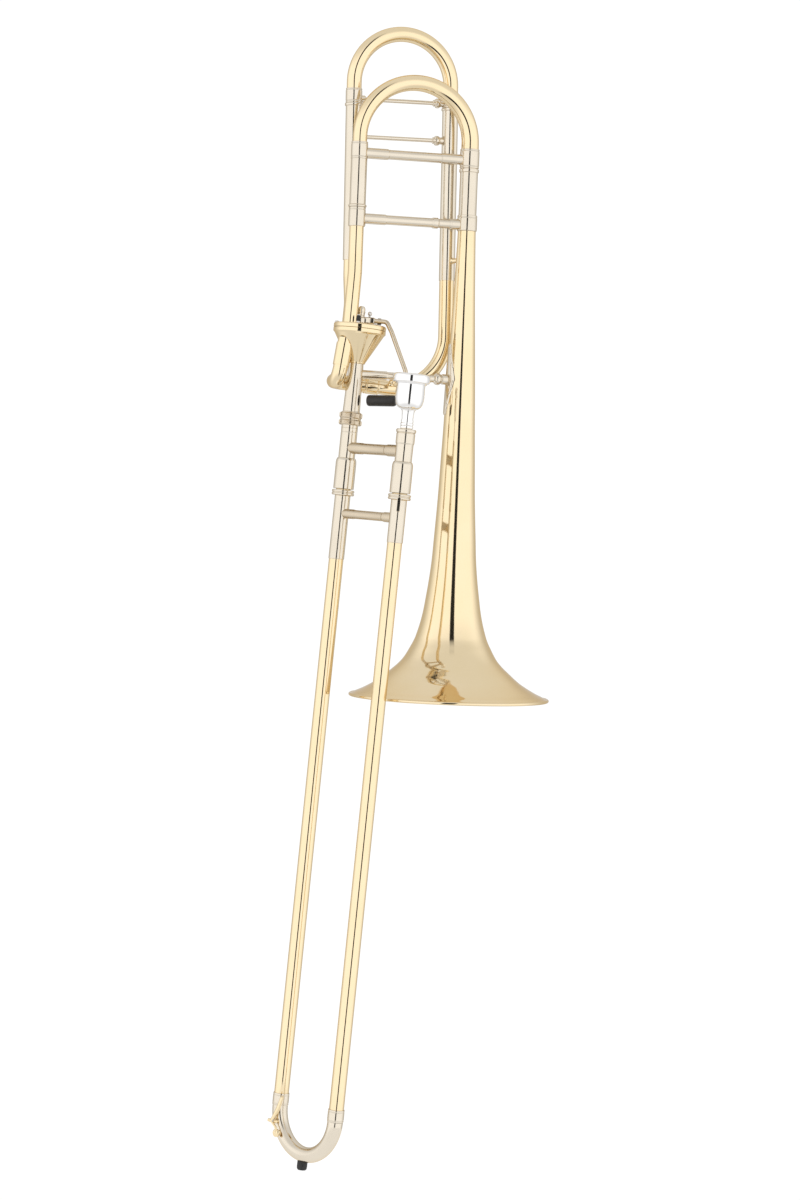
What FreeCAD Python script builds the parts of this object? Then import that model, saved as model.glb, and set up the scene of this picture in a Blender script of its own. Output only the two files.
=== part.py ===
"""Tenor trombone with an open-wrap F attachment and a conical axial-flow valve.

Units are millimetres and +Z runs up the slide. The origin is the centre of the
bumper's flat end face. Slide axis A carries the bell section and axis M the
mouthpiece. The bell section and the F attachment have leaning frames of their own.
"""
import FreeCAD
import Part
import math
import os

from FreeCAD import Placement, Rotation, Vector

# Hand slide
SLIDE_SPACING = 88.0
SLIDE_AZIMUTH = -61.4
BORE_R = 6.95
INNER_TUBE_R = 7.2
STOCKING_R = 7.4
OUTER_TUBE_IN_R = 7.45
OUTER_TUBE_R = 7.85
SLEEVE_R = 8.4
CROOK_TUBE_R = 8.2
CROOK_Z = 60.5
FERRULE_TOP_Z = 73.5
SLEEVE_LOW_Z = {"a": 646.0, "m": 669.0}
RING_Z = 714.0
BARREL_LOW_Z = 721.0
BARREL_TOP_Z = 754.0
BARREL_R = 11.0
OUTER_TUBE_TOP_Z = 744.9
INNER_TUBE_LOW_Z = 84.0
BRACE_LOW_Z = 695.0
BRACE_TOP_Z = 765.0

# Mouthpiece
LIP_Z = 788.0
CUP_Z = 811.0
RIM_LOW_Z = 836.5
RIM_TOP_Z = 846.0
RIM_R = 19.6

# Bell lock and axial-flow valve
NUT_Z = (789.0, 802.5)
NUT_R = 12.35
NUT_BORE_R = 10.5
VALVE_LOW_Z = 855.0
VALVE_WIDE_Z = 888.0
PLATE_Z = (891.5, 896.5)
VALVE_R = 28.0
PORT_RADIUS = 14.0
PORT_R = 6.6
PORT_TUBE_R = 7.6
MAIN_PORT_AZIMUTH = 205.0
VALVE_TURN = 70.0
LEVER_AZIMUTH = -27.0
ROTOR_GAP = 0.05
HUB_R = 6.1
LEVER_Z = 901.8
SPRING_R = 5.3

# Bell section frame: rim centre relative to slide axis A, and its lean
BELL_ORIGIN = (138.3, -4.0, 510.3)
BELL_LEAN = 3.78
BELL_WALL = 0.55
NECK_X = -121.5
LEG_TOP_Z = 587.5

# F attachment frame: centre of the tuning crook's arc, and its lean
F_ORIGIN = (24.9, 22.0, 1159.2)
F_LEAN = 4.85
F_HALF = 53.5
F_LEG_LOW_Z = {"left": -189.7, "right": -207.8}

# Water key frame: its hinge faces front and left of axis A
KEY_TURN = -14.8

A_AXIS = Vector(
    -SLIDE_SPACING / 2 * math.cos(math.radians(SLIDE_AZIMUTH)),
    -SLIDE_SPACING / 2 * math.sin(math.radians(SLIDE_AZIMUTH)), 0)
M_STEP = Vector(
    SLIDE_SPACING * math.cos(math.radians(SLIDE_AZIMUTH)),
    SLIDE_SPACING * math.sin(math.radians(SLIDE_AZIMUTH)), 0)
AXES = {"a": Vector(0, 0, 0), "m": M_STEP}
UP = Vector(0, 0, 1)


def polar(radius, azimuth, z=0.0):
    """Point at a radius and azimuth (degrees) about axis A."""
    angle = math.radians(azimuth)
    return Vector(radius * math.cos(angle), radius * math.sin(angle), z)


def lathe(points, at=None, direction=UP):
    """Revolve a closed (radius, height) outline about its own axis."""
    corners = [Vector(r, 0, z) for r, z in points]
    face = Part.Face(Part.makePolygon(corners + corners[:1]))
    solid = face.revolve(Vector(0, 0, 0), UP, 360)
    solid.Placement = Placement(at or Vector(0, 0, 0), Rotation(UP, direction))
    return solid


def ring(r_in, r_out, low, high, at=None, chamfer=0.0):
    """Plain round sleeve with optional outer edge chamfers."""
    outside = [(r_out, low), (r_out, high)]
    if chamfer:
        outside = [(r_out - chamfer, low), (r_out, low + chamfer),
                   (r_out, high - chamfer), (r_out - chamfer, high)]
    return lathe([(r_in, low)] + outside + [(r_in, high)], at)


def rod(start, end, radius):
    """Plain round rod between two points."""
    step = end - start
    return Part.makeCylinder(radius, step.Length, start, step)


def turned_rod(start, end, stations):
    """Rod turned to (fraction or distance, radius) stations from start to end."""
    length = (end - start).Length
    outline = [(0.0, 0.0)] + [(r, s if s >= 0 else length + s) for s, r in stations] + [(0.0, length)]
    return lathe(outline, start, end - start)


def path_wire(points, bend):
    """Polyline with every corner rounded to a tangent arc."""
    bends = bend if isinstance(bend, (list, tuple)) else [bend] * (len(points) - 2)
    edges = []
    last = points[0]
    for index in range(1, len(points) - 1):
        here = points[index]
        back = (points[index - 1] - here).normalize()
        ahead = (points[index + 1] - here).normalize()
        half = back.getAngle(ahead) / 2
        reach = bends[index - 1] / math.tan(half)
        middle = (back + ahead).normalize()
        centre = here + middle * (bends[index - 1] / math.sin(half))
        arc_start = here + back * reach
        arc_end = here + ahead * reach
        arc_mid = centre - middle * bends[index - 1]
        if (arc_start - last).Length > 1e-6:
            edges.append(Part.LineSegment(last, arc_start).toShape())
        edges.append(Part.Arc(arc_start, arc_mid, arc_end).toShape())
        last = arc_end
    if (points[-1] - last).Length > 1e-6:
        edges.append(Part.LineSegment(last, points[-1]).toShape())
    return Part.Wire(edges)


def pipe(points, bend, r_out, r_in=0.0):
    """Round tube or rod swept along a filleted polyline."""
    wire = path_wire(points, bend)
    heading = wire.Edges[0].tangentAt(wire.Edges[0].FirstParameter)
    shells = []
    for radius in (r_out, r_in):
        if radius > 0:
            circle = Part.Wire(Part.makeCircle(radius, points[0], heading))
            shells.append(wire.makePipeShell([circle], True, False))
    return shells[0].cut(shells[1]) if len(shells) == 2 else shells[0]


def arc_solid(centre, radius, radii, start_deg, end_deg, steps=12):
    """Solid through circles spaced round an arc that lies in the XZ plane."""
    sections = []
    for index in range(steps + 1):
        share = index / steps
        angle = math.radians(start_deg + (end_deg - start_deg) * share)
        outward = Vector(math.cos(angle), 0, math.sin(angle))
        heading = Vector(-math.sin(angle), 0, math.cos(angle))
        size = radii[0] + (radii[1] - radii[0]) * share
        sections.append(Part.Wire(Part.makeCircle(size, centre + outward * radius, heading)))
    return Part.makeLoft(sections, True, False)


def half_crook(half_width, r_start, r_end, wall, straight):
    """Half-circle bow in the XZ plane with short straight ends below it."""
    centre = Vector(0, 0, 0)
    bow = arc_solid(centre, half_width, (r_start, r_end), 0, 180)
    bow = bow.cut(arc_solid(centre, half_width, (r_start - wall, r_end - wall), 0, 180))
    for side, size in ((1, r_start), (-1, r_end)):
        leg = ring(size - wall, size, -straight, 0, Vector(side * half_width, 0, 0))
        bow = bow.fuse(leg)
    return bow.removeSplitter()


def leaning(shape, origin, lean):
    """Set a shape built in a section's own frame into the slide frame."""
    placed = shape.copy()
    frame = Placement(Vector(*origin), Rotation(Vector(0, 1, 0), -lean))
    placed.Placement = frame.multiply(placed.Placement)
    return placed


def section_point(origin, lean, x, z, y=0.0):
    """Slide-frame position of a point in a leaning section frame."""
    return Placement(Vector(*origin), Rotation(Vector(0, 1, 0), -lean)).multVec(Vector(x, y, z))


def in_bell(shape):
    """Place a bell-section shape."""
    return leaning(shape, BELL_ORIGIN, BELL_LEAN)


def in_f(shape):
    """Place an F-attachment shape."""
    return leaning(shape, F_ORIGIN, F_LEAN)


def bell_point(x, z, y=0.0):
    """Slide-frame position of a bell-section point."""
    return section_point(BELL_ORIGIN, BELL_LEAN, x, z, y)


def f_point(x, z, y=0.0):
    """Slide-frame position of an F-attachment point."""
    return section_point(F_ORIGIN, F_LEAN, x, z, y)


# Bell outer radius at each height above the rim
BELL_PROFILE = [
    (107.0, 0.6), (104.0, 1.9), (100.0, 3.9), (94.0, 6.6), (88.0, 9.8), (82.0, 13.3),
    (76.0, 17.2), (70.0, 22.0), (65.5, 26.0), (61.0, 30.0), (56.6, 34.0), (51.2, 40.0),
    (47.0, 46.5), (43.5, 53.0), (40.2, 59.5), (37.7, 65.9), (33.9, 78.9), (31.1, 91.8),
    (29.1, 104.7), (26.1, 126.3), (23.9, 147.8), (22.6, 169.3), (20.1, 212.3), (18.4, 255.3),
    (17.1, 287.5), (16.0, 319.6), (13.9, 373.0), (11.7, 427.5), (10.1, 480.0), (9.6, 500.0),
]


def bell_radius(z):
    """Bell outer radius at a height above the rim."""
    for (r0, z0), (r1, z1) in zip(BELL_PROFILE, BELL_PROFILE[1:]):
        if z0 <= z <= z1:
            return r0 + (r1 - r0) * (z - z0) / (z1 - z0)
    return BELL_PROFILE[-1][0]


def make_bell():
    """Bell flare, rim, receiving leg, grip flange and fixed main-loop parts."""
    inner = [(r - BELL_WALL, z) for r, z in reversed(BELL_PROFILE)]
    inner[-1] = (BELL_PROFILE[0][0], BELL_PROFILE[0][1] - BELL_WALL)
    flare = lathe(BELL_PROFILE + inner)
    rim = Part.makeTorus(106.15, 1.8, Vector(0, 0, 0.0), UP).cut(flare)
    outline = [(12.0, 0), (8.5, 16), (3.2, 38.0), (-3.2, 38.0), (-8.5, 16), (-12.0, 0), (-8.5, -16),
               (-3.2, -38.0), (3.2, -38.0), (8.5, -16)]
    corners = [Vector(-40, y, 341 + z) for y, z in outline]
    prism = Part.Face(Part.makePolygon(corners + corners[:1])).extrude(Vector(40, 0, 0))
    heights = [300.0] + [z for r, z in BELL_PROFILE if 300.0 < z < 382.0] + [382.0]
    skin = lathe([(bell_radius(z) + 0.02, z) for z in heights]
                 + [(bell_radius(z) + 1.5, z) for z in reversed(heights)])
    leg_x = Vector(NECK_X, 0, 0)
    return {
        "bell_flare": in_bell(flare),
        "bell_rim_wire": in_bell(rim),
        "grip_flange": in_bell(skin.common(prism)),
        "leg_ferrules": Part.makeCompound([
            in_bell(ring(9.6, 10.7, 500.2, 517, chamfer=0.3)),
            in_bell(ring(7.75, 9.1, 498, 518.4, leg_x, 0.4))]),
        "main_outer_leg": in_bell(ring(9.1, 9.6, 500.2, 566).fuse(ring(9.6, 10.6, 562.5, 566, chamfer=0.6))),
        "neck_inner_leg": in_bell(ring(7.0, 7.75, 498, 567, leg_x)),
    }


def make_main_slide():
    """Main tuning slide: bow, ferrules, brace, one male and one female leg."""
    centre_x = NECK_X / 2
    bow = half_crook(-centre_x, 9.4, 7.6, 0.5, 5.7)
    bow.Placement = Placement(Vector(centre_x, 0, 593.2), Rotation())
    leg_x = Vector(NECK_X, 0, 0)
    brace = turned_rod(Vector(NECK_X, 0, 576), Vector(0, 0, 576), [
        (0, 5.8), (31, 5.8), (32, 5.1), (-32, 5.1), (-31, 5.5), (-0.01, 5.5)])
    brace = brace.cut(Part.makeCylinder(9.0, 60, Vector(NECK_X, 0, 540), UP))
    brace = brace.cut(Part.makeCylinder(10.4, 60, Vector(0, 0, 540), UP))
    return {
        "main_tuning_bow": in_bell(bow),
        "main_bow_ferrules": Part.makeCompound([
            in_bell(ring(7.6, 9.0, 569.5, LEG_TOP_Z, leg_x, 0.4)),
            in_bell(ring(9.05, 10.4, 567, LEG_TOP_Z, None, 0.4))]),
        "main_reversed_leg": in_bell(ring(7.8, 8.7, 521, 569.5, leg_x).fuse(
            ring(7.8, 9.8, 518.4, 521, leg_x, 0.5))),
        "main_inner_leg": in_bell(ring(8.5, 9.05, 504, LEG_TOP_Z)),
        "main_bow_brace": in_bell(brace),
    }


def make_main_fixed():
    """Neckpipe and the lower brace between neckpipe and bell."""
    top = bell_point(NECK_X, 498)
    knee = bell_point(NECK_X, 449)
    port = polar(PORT_RADIUS, MAIN_PORT_AZIMUTH, PLATE_Z[1])
    neck = pipe([port, knee, top], 60.0, PORT_TUBE_R, 6.9)
    brace = turned_rod(Vector(NECK_X, 0, 506.8), Vector(0, 0, 506.8), [
        (0, 5.6), (31, 5.6), (32, 5.0), (-39, 5.0), (-38, 5.8), (-33, 5.8), (-32, 4.8), (-20, 4.8),
        (-18, 5.8), (-0.01, 5.8)])
    brace = brace.cut(Part.makeCylinder(9.1, 60, Vector(NECK_X, 0, 480), UP))
    brace = brace.cut(Part.makeCylinder(10.7, 60, Vector(0, 0, 480), UP))
    slim = in_f(thin_brace(-58.0, 8.55, 8.55))
    return {"neckpipe": neck, "fixed_braces": Part.makeCompound([in_bell(brace), slim])}


def thin_brace(z, left_r, right_r, lift=0.0):
    """Slim F-attachment brace with a foot at each leg and a turned ball."""
    brace = turned_rod(Vector(-F_HALF, 0, z), Vector(F_HALF, 0, z + lift), [
        (0, 4.0), (12, 4.0), (13.5, 2.2), (-20, 2.2), (-19, 3.6), (-17.4, 3.6), (-16, 5.2), (-13, 5.2),
        (-11.4, 3.8), (-0.01, 3.8)])
    brace = brace.cut(Part.makeCylinder(left_r, 60, Vector(-F_HALF, 0, z - 30), UP))
    return brace.cut(Part.makeCylinder(right_r, 60, Vector(F_HALF, 0, z - 30), UP))


def make_f_slide():
    """F tuning slide: bow, ferrules, brace and its two male legs."""
    bow = half_crook(F_HALF, 8.0, 8.0, 0.5, 7.0)
    legs = []
    ferrules = []
    for side, x in (("left", -F_HALF), ("right", F_HALF)):
        at = Vector(x, 0, 0)
        legs.append(ring(7.1, 7.65, F_LEG_LOW_Z[side] + 15, -7.0, at))
        ferrules.append(ring(7.65, 8.9, -22.5, -7.0, at, 0.4))
    parts = {
        "f_tuning_bow": bow,
        "f_bow_brace": thin_brace(-18.0, 8.9, 8.9),
        "f_inner_legs": Part.makeCompound(legs),
        "f_bow_ferrules": Part.makeCompound(ferrules),
    }
    return {name: in_f(shape) for name, shape in parts.items()}


def make_f_fixed():
    """Fixed F legs, feed pipe, return pipes, braces and small struts."""
    legs = []
    for side, x in (("left", -F_HALF), ("right", F_HALF)):
        at = Vector(x, 0, 0)
        leg = ring(7.7, 8.55, F_LEG_LOW_Z[side], -22.7, at)
        legs.append(in_f(leg.fuse(ring(8.55, 9.6, -25.5, -22.7, at, 0.5))))
    parts = {"f_outer_legs": Part.makeCompound(legs)}
    port = polar(PORT_RADIUS, MAIN_PORT_AZIMUTH - VALVE_TURN, PLATE_Z[1])
    feed_top = f_point(-F_HALF, F_LEG_LOW_Z["left"])
    leg_way = (feed_top - f_point(-F_HALF, 0)).normalize()
    parts["f_feed_pipe"] = pipe(
        [port, port + Vector(0, 0, 22), feed_top + leg_way * 18, feed_top], 24.0, PORT_TUBE_R, 6.9)
    low = f_point(F_HALF, F_LEG_LOW_Z["right"])
    drop = (f_point(F_HALF, -300) - f_point(F_HALF, 0)).normalize()
    level = 834.6
    corner = low + drop * ((low.z - level) / -drop.z)
    joint = Vector(24.0, F_ORIGIN[1], level)
    parts["f_return_bow"] = pipe([low, corner, joint], 58.0, 8.0, 7.4)
    sleeve = lathe([(8.0, 0), (8.9, 0), (8.9, 16), (8.0, 16)], joint + Vector(-8, 0, 0), Vector(1, 0, 0))
    side = polar(17.5, MAIN_PORT_AZIMUTH, 880)
    foot = polar(22.0, MAIN_PORT_AZIMUTH, 834.6)
    bend = Vector(foot.x, F_ORIGIN[1], 834.6)
    lower = pipe([joint, bend, foot, side], 14.0, 8.0, 7.3)
    cone = lathe([(0, 840), (9.45, 840), (9.45, VALVE_LOW_Z), (26.35, 886), (VALVE_R + 0.05, VALVE_WIDE_Z),
                  (VALVE_R + 0.05, 900), (0, 900)])
    parts["f_return_elbow"] = lower.cut(cone)
    side_way = (side - foot).normalize()
    stub_foot = foot + side_way * 16
    stub = lathe([(8.0, 0), (8.8, 0), (8.8, 24), (8.0, 24)], stub_foot, side_way).cut(cone)
    parts["f_return_ferrules"] = Part.makeCompound([sleeve, stub])
    struts = []
    for x, z, leg_z, tube_r, leg_x in (
            (NECK_X, 472, -183, PORT_TUBE_R, -F_HALF), (0, 470, -187, 10.4, F_HALF)):
        strut = rod(bell_point(x, z), f_point(leg_x, leg_z), 2.6)
        strut = strut.cut(in_bell(Part.makeCylinder(tube_r, 100, Vector(x, 0, 430))))
        struts.append(strut.cut(in_f(Part.makeCylinder(8.55, 100, Vector(leg_x, 0, -230)))))
    strut = rod(Vector(44, -1.0, 846.8), Vector(44, F_ORIGIN[1], 835.2), 2.6)
    strut = strut.cut(rod(Vector(20, F_ORIGIN[1], 834.6), Vector(70, F_ORIGIN[1], 834.6), 8.0))
    struts.append(strut.cut(rod(Vector(0, 0, 844.2), grip_head(), 4.0)))
    parts["f_struts"] = Part.makeCompound(struts)
    return parts


def make_valve():
    """Conical valve: casing, backplate, rotor, spindle, stops and lever."""
    parts = {}
    side = polar(17.5, MAIN_PORT_AZIMUTH, 880)
    foot = polar(22.0, MAIN_PORT_AZIMUTH, 834.6)
    side_hole = rod(foot, side + (side - foot).normalize() * 12, PORT_R)
    casing = lathe([(7.9, VALVE_LOW_Z), (9.4, VALVE_LOW_Z), (26.3, 886), (VALVE_R, VALVE_WIDE_Z),
                    (VALVE_R, PLATE_Z[0]), (26.0, PLATE_Z[0]), (25.0, VALVE_WIDE_Z), (8.1, 858)])
    parts["valve_casing"] = casing.cut(side_hole)
    plate = ring(4.0, VALVE_R, PLATE_Z[0], PLATE_Z[1], chamfer=0.6)
    main_port = polar(PORT_RADIUS, MAIN_PORT_AZIMUTH)
    f_port = polar(PORT_RADIUS, MAIN_PORT_AZIMUTH - VALVE_TURN)
    idle_port = polar(PORT_RADIUS, MAIN_PORT_AZIMUTH + VALVE_TURN)
    for port in (main_port, f_port):
        plate = plate.cut(Part.makeCylinder(PORT_R, 12, port + UP * 888, UP))
    for index in range(3):
        plate = plate.cut(Part.makeCylinder(1.25, 12, polar(25.2, 55 + index * 120, 888), UP))
    parts["valve_backplate"] = plate
    rotor = lathe([(0, 858.2), (8.1 - ROTOR_GAP, 858.2), (25.0 - ROTOR_GAP, VALVE_WIDE_Z),
                   (25.6 - ROTOR_GAP, PLATE_Z[0] - 0.1), (4.0 - ROTOR_GAP, PLATE_Z[0] - 0.1),
                   (4.0 - ROTOR_GAP, 898.2), (0, 898.2)])
    rotor = rotor.cut(rod(Vector(0, 0, 854), main_port + UP * 892, 6.3))
    tilt = (side - foot).normalize()
    swing = Rotation(UP, VALVE_TURN)
    idle_way = swing.multVec(tilt)
    idle_low = swing.multVec(side)
    rotor = rotor.cut(rod(idle_low - idle_way * 40, idle_low + idle_way * 7, 6.3))
    rotor = rotor.cut(Part.makeCylinder(6.3, 12, idle_port + UP * 882, UP))
    parts["valve_rotor"] = rotor
    screws = [lathe([(0, 891.7), (1.2, 891.7), (1.2, 896.5), (2.4, 896.5), (2.0, 897.9), (0, 898.1)],
                    polar(25.2, 55 + index * 120)) for index in range(3)]
    hub = lathe([(0, 898.2), (HUB_R, 898.2), (HUB_R, 903.4), (4.2, 904.6), (0, 904.6)])
    arm = Part.makeBox(10.5, 7.0, 6.2, Vector(5.2, -3.5, 898.4))
    arm.rotate(Vector(0, 0, 0), UP, LEVER_AZIMUTH)
    lever_start = polar(11.0, LEVER_AZIMUTH, LEVER_Z)
    hub = hub.fuse(arm).cut(rod(lever_start, polar(30, LEVER_AZIMUTH, LEVER_Z), 2.4))
    parts["lever_hub"] = hub
    parts["spindle_cap"] = lathe([
        (0, 904.6), (3.9, 904.6), (3.9, 913.4), (3.2, 915.3), (1.8, 916.2), (0, 916.5)])
    parts["lever_set_screw"] = lathe([
        (0, 904.6), (1.2, 904.6), (1.2, 907.0), (2.3, 907.6), (2.3, 910.2), (1.2, 911.2), (0, 911.2)],
        polar(9.4, LEVER_AZIMUTH))
    route = [(11.0, LEVER_Z), (28.6, LEVER_Z), (35.0, 891.5), (54.6, 851.0), (54.6, 819.8), (41.0, 818.8)]
    points = [polar(r, LEVER_AZIMUTH, z) for r, z in route]
    parts["lever_rod"] = pipe(points, [5.0, 8.0, 9.0, 6.5], 2.4)
    grip_tip = polar(15.6, LEVER_AZIMUTH, 816.9)
    grip_end = polar(47.8, LEVER_AZIMUTH, 819.3)
    grip = turned_rod(grip_tip, grip_end, [
        (0, 3.4), (1.2, 5.4), (2.6, 6.0), (-2.6, 6.0), (-1.2, 5.2), (-0.01, 3.6)])
    parts["thumb_grip"] = grip.cut(rod(points[-1], points[-2], 2.4))
    pins = []
    bumpers = []
    for azimuth in (LEVER_AZIMUTH + 13.9, LEVER_AZIMUTH - VALVE_TURN - 13.9):
        at = polar(20.0, azimuth)
        pins.append(lathe([(0, PLATE_Z[1]), (1.2, PLATE_Z[1]), (1.2, 904.6), (1.6, 904.6),
                           (1.6, 905.4), (0, 905.4)], at))
        bumpers.append(ring(1.2, 2.3, 898.8, 904.4, at, 0.3))
    parts["plate_screws_and_stops"] = Part.makeCompound(screws + pins)
    parts["stop_bumpers"] = Part.makeCompound(bumpers)
    coil = Part.makeHelix(0.85, 0.85, SPRING_R)
    spring = Part.Wire(coil).makePipeShell(
        [Part.Wire(Part.makeCircle(0.35, Vector(SPRING_R, 0, 0), Vector(0, 1, 0)))], True, True)
    spring.translate(Vector(0, 0, 896.9))
    parts["return_spring"] = spring
    return parts


def grip_head():
    """Point on the bell axis that the left-hand grip brace aims at."""
    stem = bell_point(0, 341)
    return Vector(stem.x, stem.y, 850.0)


def make_bell_lock():
    """Receiver on the bell section, slide tenon, lock nut and the hand grip."""
    receiver = lathe([(8.77, 792.9), (9.9, 792.9), (9.9, 803.2), (9.2, 803.4), (9.2, 806),
                      (7.9, VALVE_LOW_Z), (BORE_R, VALVE_LOW_Z), (BORE_R, 826), (7.27, 825)])
    tenon = lathe([(BORE_R, 786.0), (8.9, 786.0), (8.9, 789.2), (10.3, 789.2), (10.3, 792.6), (8.65, 792.6),
                   (7.15, 824.6), (BORE_R, 824.6)])
    nut = lathe([(NUT_BORE_R, NUT_Z[0]), (11.6, NUT_Z[0]), (NUT_R, NUT_Z[0] + 0.8), (NUT_R, NUT_Z[1] - 0.8),
                 (11.6, NUT_Z[1]), (NUT_BORE_R, NUT_Z[1])])
    foot = Vector(0, 0, 844.2)
    head = grip_head()
    reach = (head - foot).Length
    gap = 17.2
    stations = [(0, 4.6), (34, 4.6), (35, 4.0), (reach - gap - 13, 4.0), (reach - gap - 11, 6.2),
                (reach - gap - 7.5, 6.6), (reach - gap - 5, 4.6), (reach - gap - 4, 5.6),
                (reach - gap + 1.5, 5.6), (reach - 1, 5.6)]
    brace = turned_rod(foot, head, stations)
    brace = brace.cut(Part.makeCylinder(8.6, 60, Vector(0, 0, 815), UP))
    solid_stem = lathe([(0, 300), (bell_radius(300) + 1.5, 300), (bell_radius(341) + 1.5, 341),
                        (bell_radius(382) + 1.5, 382), (0, 382)])
    brace = brace.cut(in_bell(solid_stem))
    return {"bell_receiver": receiver, "slide_tenon": tenon, "lock_nut": nut, "grip_brace": brace}


def make_inner_slide():
    """Inner slide: tubes, stockings, cork barrels, upper sleeves and brace."""
    tubes = []
    stockings = []
    barrels = []
    corks = []
    for at in AXES.values():
        tubes.append(ring(BORE_R, INNER_TUBE_R, INNER_TUBE_LOW_Z, 786.0, at))
        stockings.append(ring(INNER_TUBE_R, STOCKING_R, INNER_TUBE_LOW_Z, 200.0, at))
        barrels.append(lathe([(9.0, BARREL_LOW_Z), (10.6, BARREL_LOW_Z), (BARREL_R, BARREL_LOW_Z + 0.6),
                              (BARREL_R, BARREL_TOP_Z - 2.2), (10.2, BARREL_TOP_Z),
                              (INNER_TUBE_R, BARREL_TOP_Z), (INNER_TUBE_R, 751.0), (9.0, 751.0)], at))
        corks.append(ring(INNER_TUBE_R, 8.95, 745.0, 751.0, at))
    parts = {
        "inner_tubes": Part.makeCompound(tubes),
        "stockings": Part.makeCompound(stockings),
        "cork_barrels": Part.makeCompound(barrels),
        "slide_corks": Part.makeCompound(corks),
    }
    parts["upper_sleeve_a"] = ring(INNER_TUBE_R, 8.9, BARREL_TOP_Z, 786.0)
    receiver = lathe([
        (INNER_TUBE_R, BARREL_TOP_Z), (9.0, BARREL_TOP_Z), (9.2, 772.0), (9.9, 774.0), (9.9, 783.6),
        (9.3, 783.8), (9.3, 784.4), (10.5, 784.6), (10.5, LIP_Z), (7.4, LIP_Z), (7.1, 786.0),
        (INNER_TUBE_R, 786.0)], M_STEP)
    parts["mouthpiece_receiver"] = receiver
    parts["leadpipe"] = lathe([(6.2, 560), (BORE_R, 560), (BORE_R, 785.9), (6.33, 785.9), (5.97, 762.0),
                               (5.4, 738.0), (5.4, 700)], M_STEP)
    foot = Vector(0, 0, BRACE_TOP_Z)
    head = M_STEP + foot
    brace = turned_rod(foot, head, [(0, 6.1), (24, 6.1), (26, 5.7), (-26, 5.7), (-24, 6.3), (-0.01, 6.3)])
    for at in AXES.values():
        brace = brace.cut(Part.makeCylinder(9.13, 60, at + UP * 740, UP))
    parts["inner_brace"] = brace
    return parts


def make_outer_slide():
    """Outer slide: tubes, sleeves, rings, brace, ferrules, crook and bumper."""
    tubes = []
    sleeves = []
    ferrules = []
    for name, at in AXES.items():
        tubes.append(ring(OUTER_TUBE_IN_R, OUTER_TUBE_R, CROOK_Z, OUTER_TUBE_TOP_Z, at))
        sleeves.append(ring(OUTER_TUBE_R, SLEEVE_R, SLEEVE_LOW_Z[name], RING_Z, at))
        ferrules.append(ring(OUTER_TUBE_R, 8.7, CROOK_Z, FERRULE_TOP_Z, at, 0.3))
    parts = {
        "outer_tubes": Part.makeCompound(tubes),
        "oversleeves": Part.makeCompound(sleeves),
        "crook_ferrules": Part.makeCompound(ferrules),
    }
    parts["top_ring"] = ring(OUTER_TUBE_R, 12.0, RING_Z, RING_Z + 6, None, 1.2)
    lock = ring(OUTER_TUBE_R + 0.05, 12.0, RING_Z + 0.1, RING_Z + 6, M_STEP, 1.2)
    catch = Part.makeBox(2.8, 3.2, 14.0, Vector(-1.4, -12.1, 702.0))
    catch.rotate(Vector(0, 0, 0), UP, KEY_TURN)
    catch.translate(M_STEP)
    parts["slide_lock_ring"] = lock.fuse(catch)
    foot = Vector(0, 0, BRACE_LOW_Z)
    head = M_STEP + foot
    brace = turned_rod(foot, head, [(0, 5.1), (21, 5.1), (23, 4.7), (-21, 4.7), (-19, 5.3), (-0.01, 5.3)])
    for at in AXES.values():
        brace = brace.cut(Part.makeCylinder(SLEEVE_R, 60, at + UP * 670, UP))
    parts["outer_brace"] = brace
    half = SLIDE_SPACING / 2
    crook = Part.makeTorus(half, CROOK_TUBE_R).cut(Part.makeTorus(half, CROOK_TUBE_R - 0.7))
    crook.rotate(Vector(0, 0, 0), Vector(1, 0, 0), 90)
    crook = crook.common(Part.makeBox(200, 60, 100, Vector(-100, -30, -100)))
    crook.rotate(Vector(0, 0, 0), UP, SLIDE_AZIMUTH)
    middle = M_STEP * 0.5
    crook.translate(middle + UP * CROOK_Z)
    dish = Part.makeTorus(half, CROOK_TUBE_R)
    dish.rotate(Vector(0, 0, 0), Vector(1, 0, 0), 90)
    dish.rotate(Vector(0, 0, 0), UP, SLIDE_AZIMUTH)
    dish.translate(middle + UP * CROOK_Z)
    parts["bumper_socket"] = lathe([(0, 4.0), (2.4, 4.0), (2.4, 13.0), (0, 13.0)], middle).cut(dish)
    parts["bumper"] = lathe([(0, 0), (4.2, 0), (5.2, 1.4), (5.5, 4.8), (5.3, 10.5), (2.4, 10.5),
                             (2.4, 4.0), (0, 4.0)], middle).cut(dish)
    parts.update(make_water_key(dish))
    nipple_hole = rod(key_point(6.5, 7.0, 33), key_point(-3.0, 19.7, 33), 1.6)
    parts["slide_crook"] = crook.cut(nipple_hole)
    return parts


def key_point(right, front, z):
    """Point in the water key's frame: right and front of axis A, and height."""
    turn = Rotation(UP, KEY_TURN)
    return turn.multVec(Vector(right, -front, z))


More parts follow.
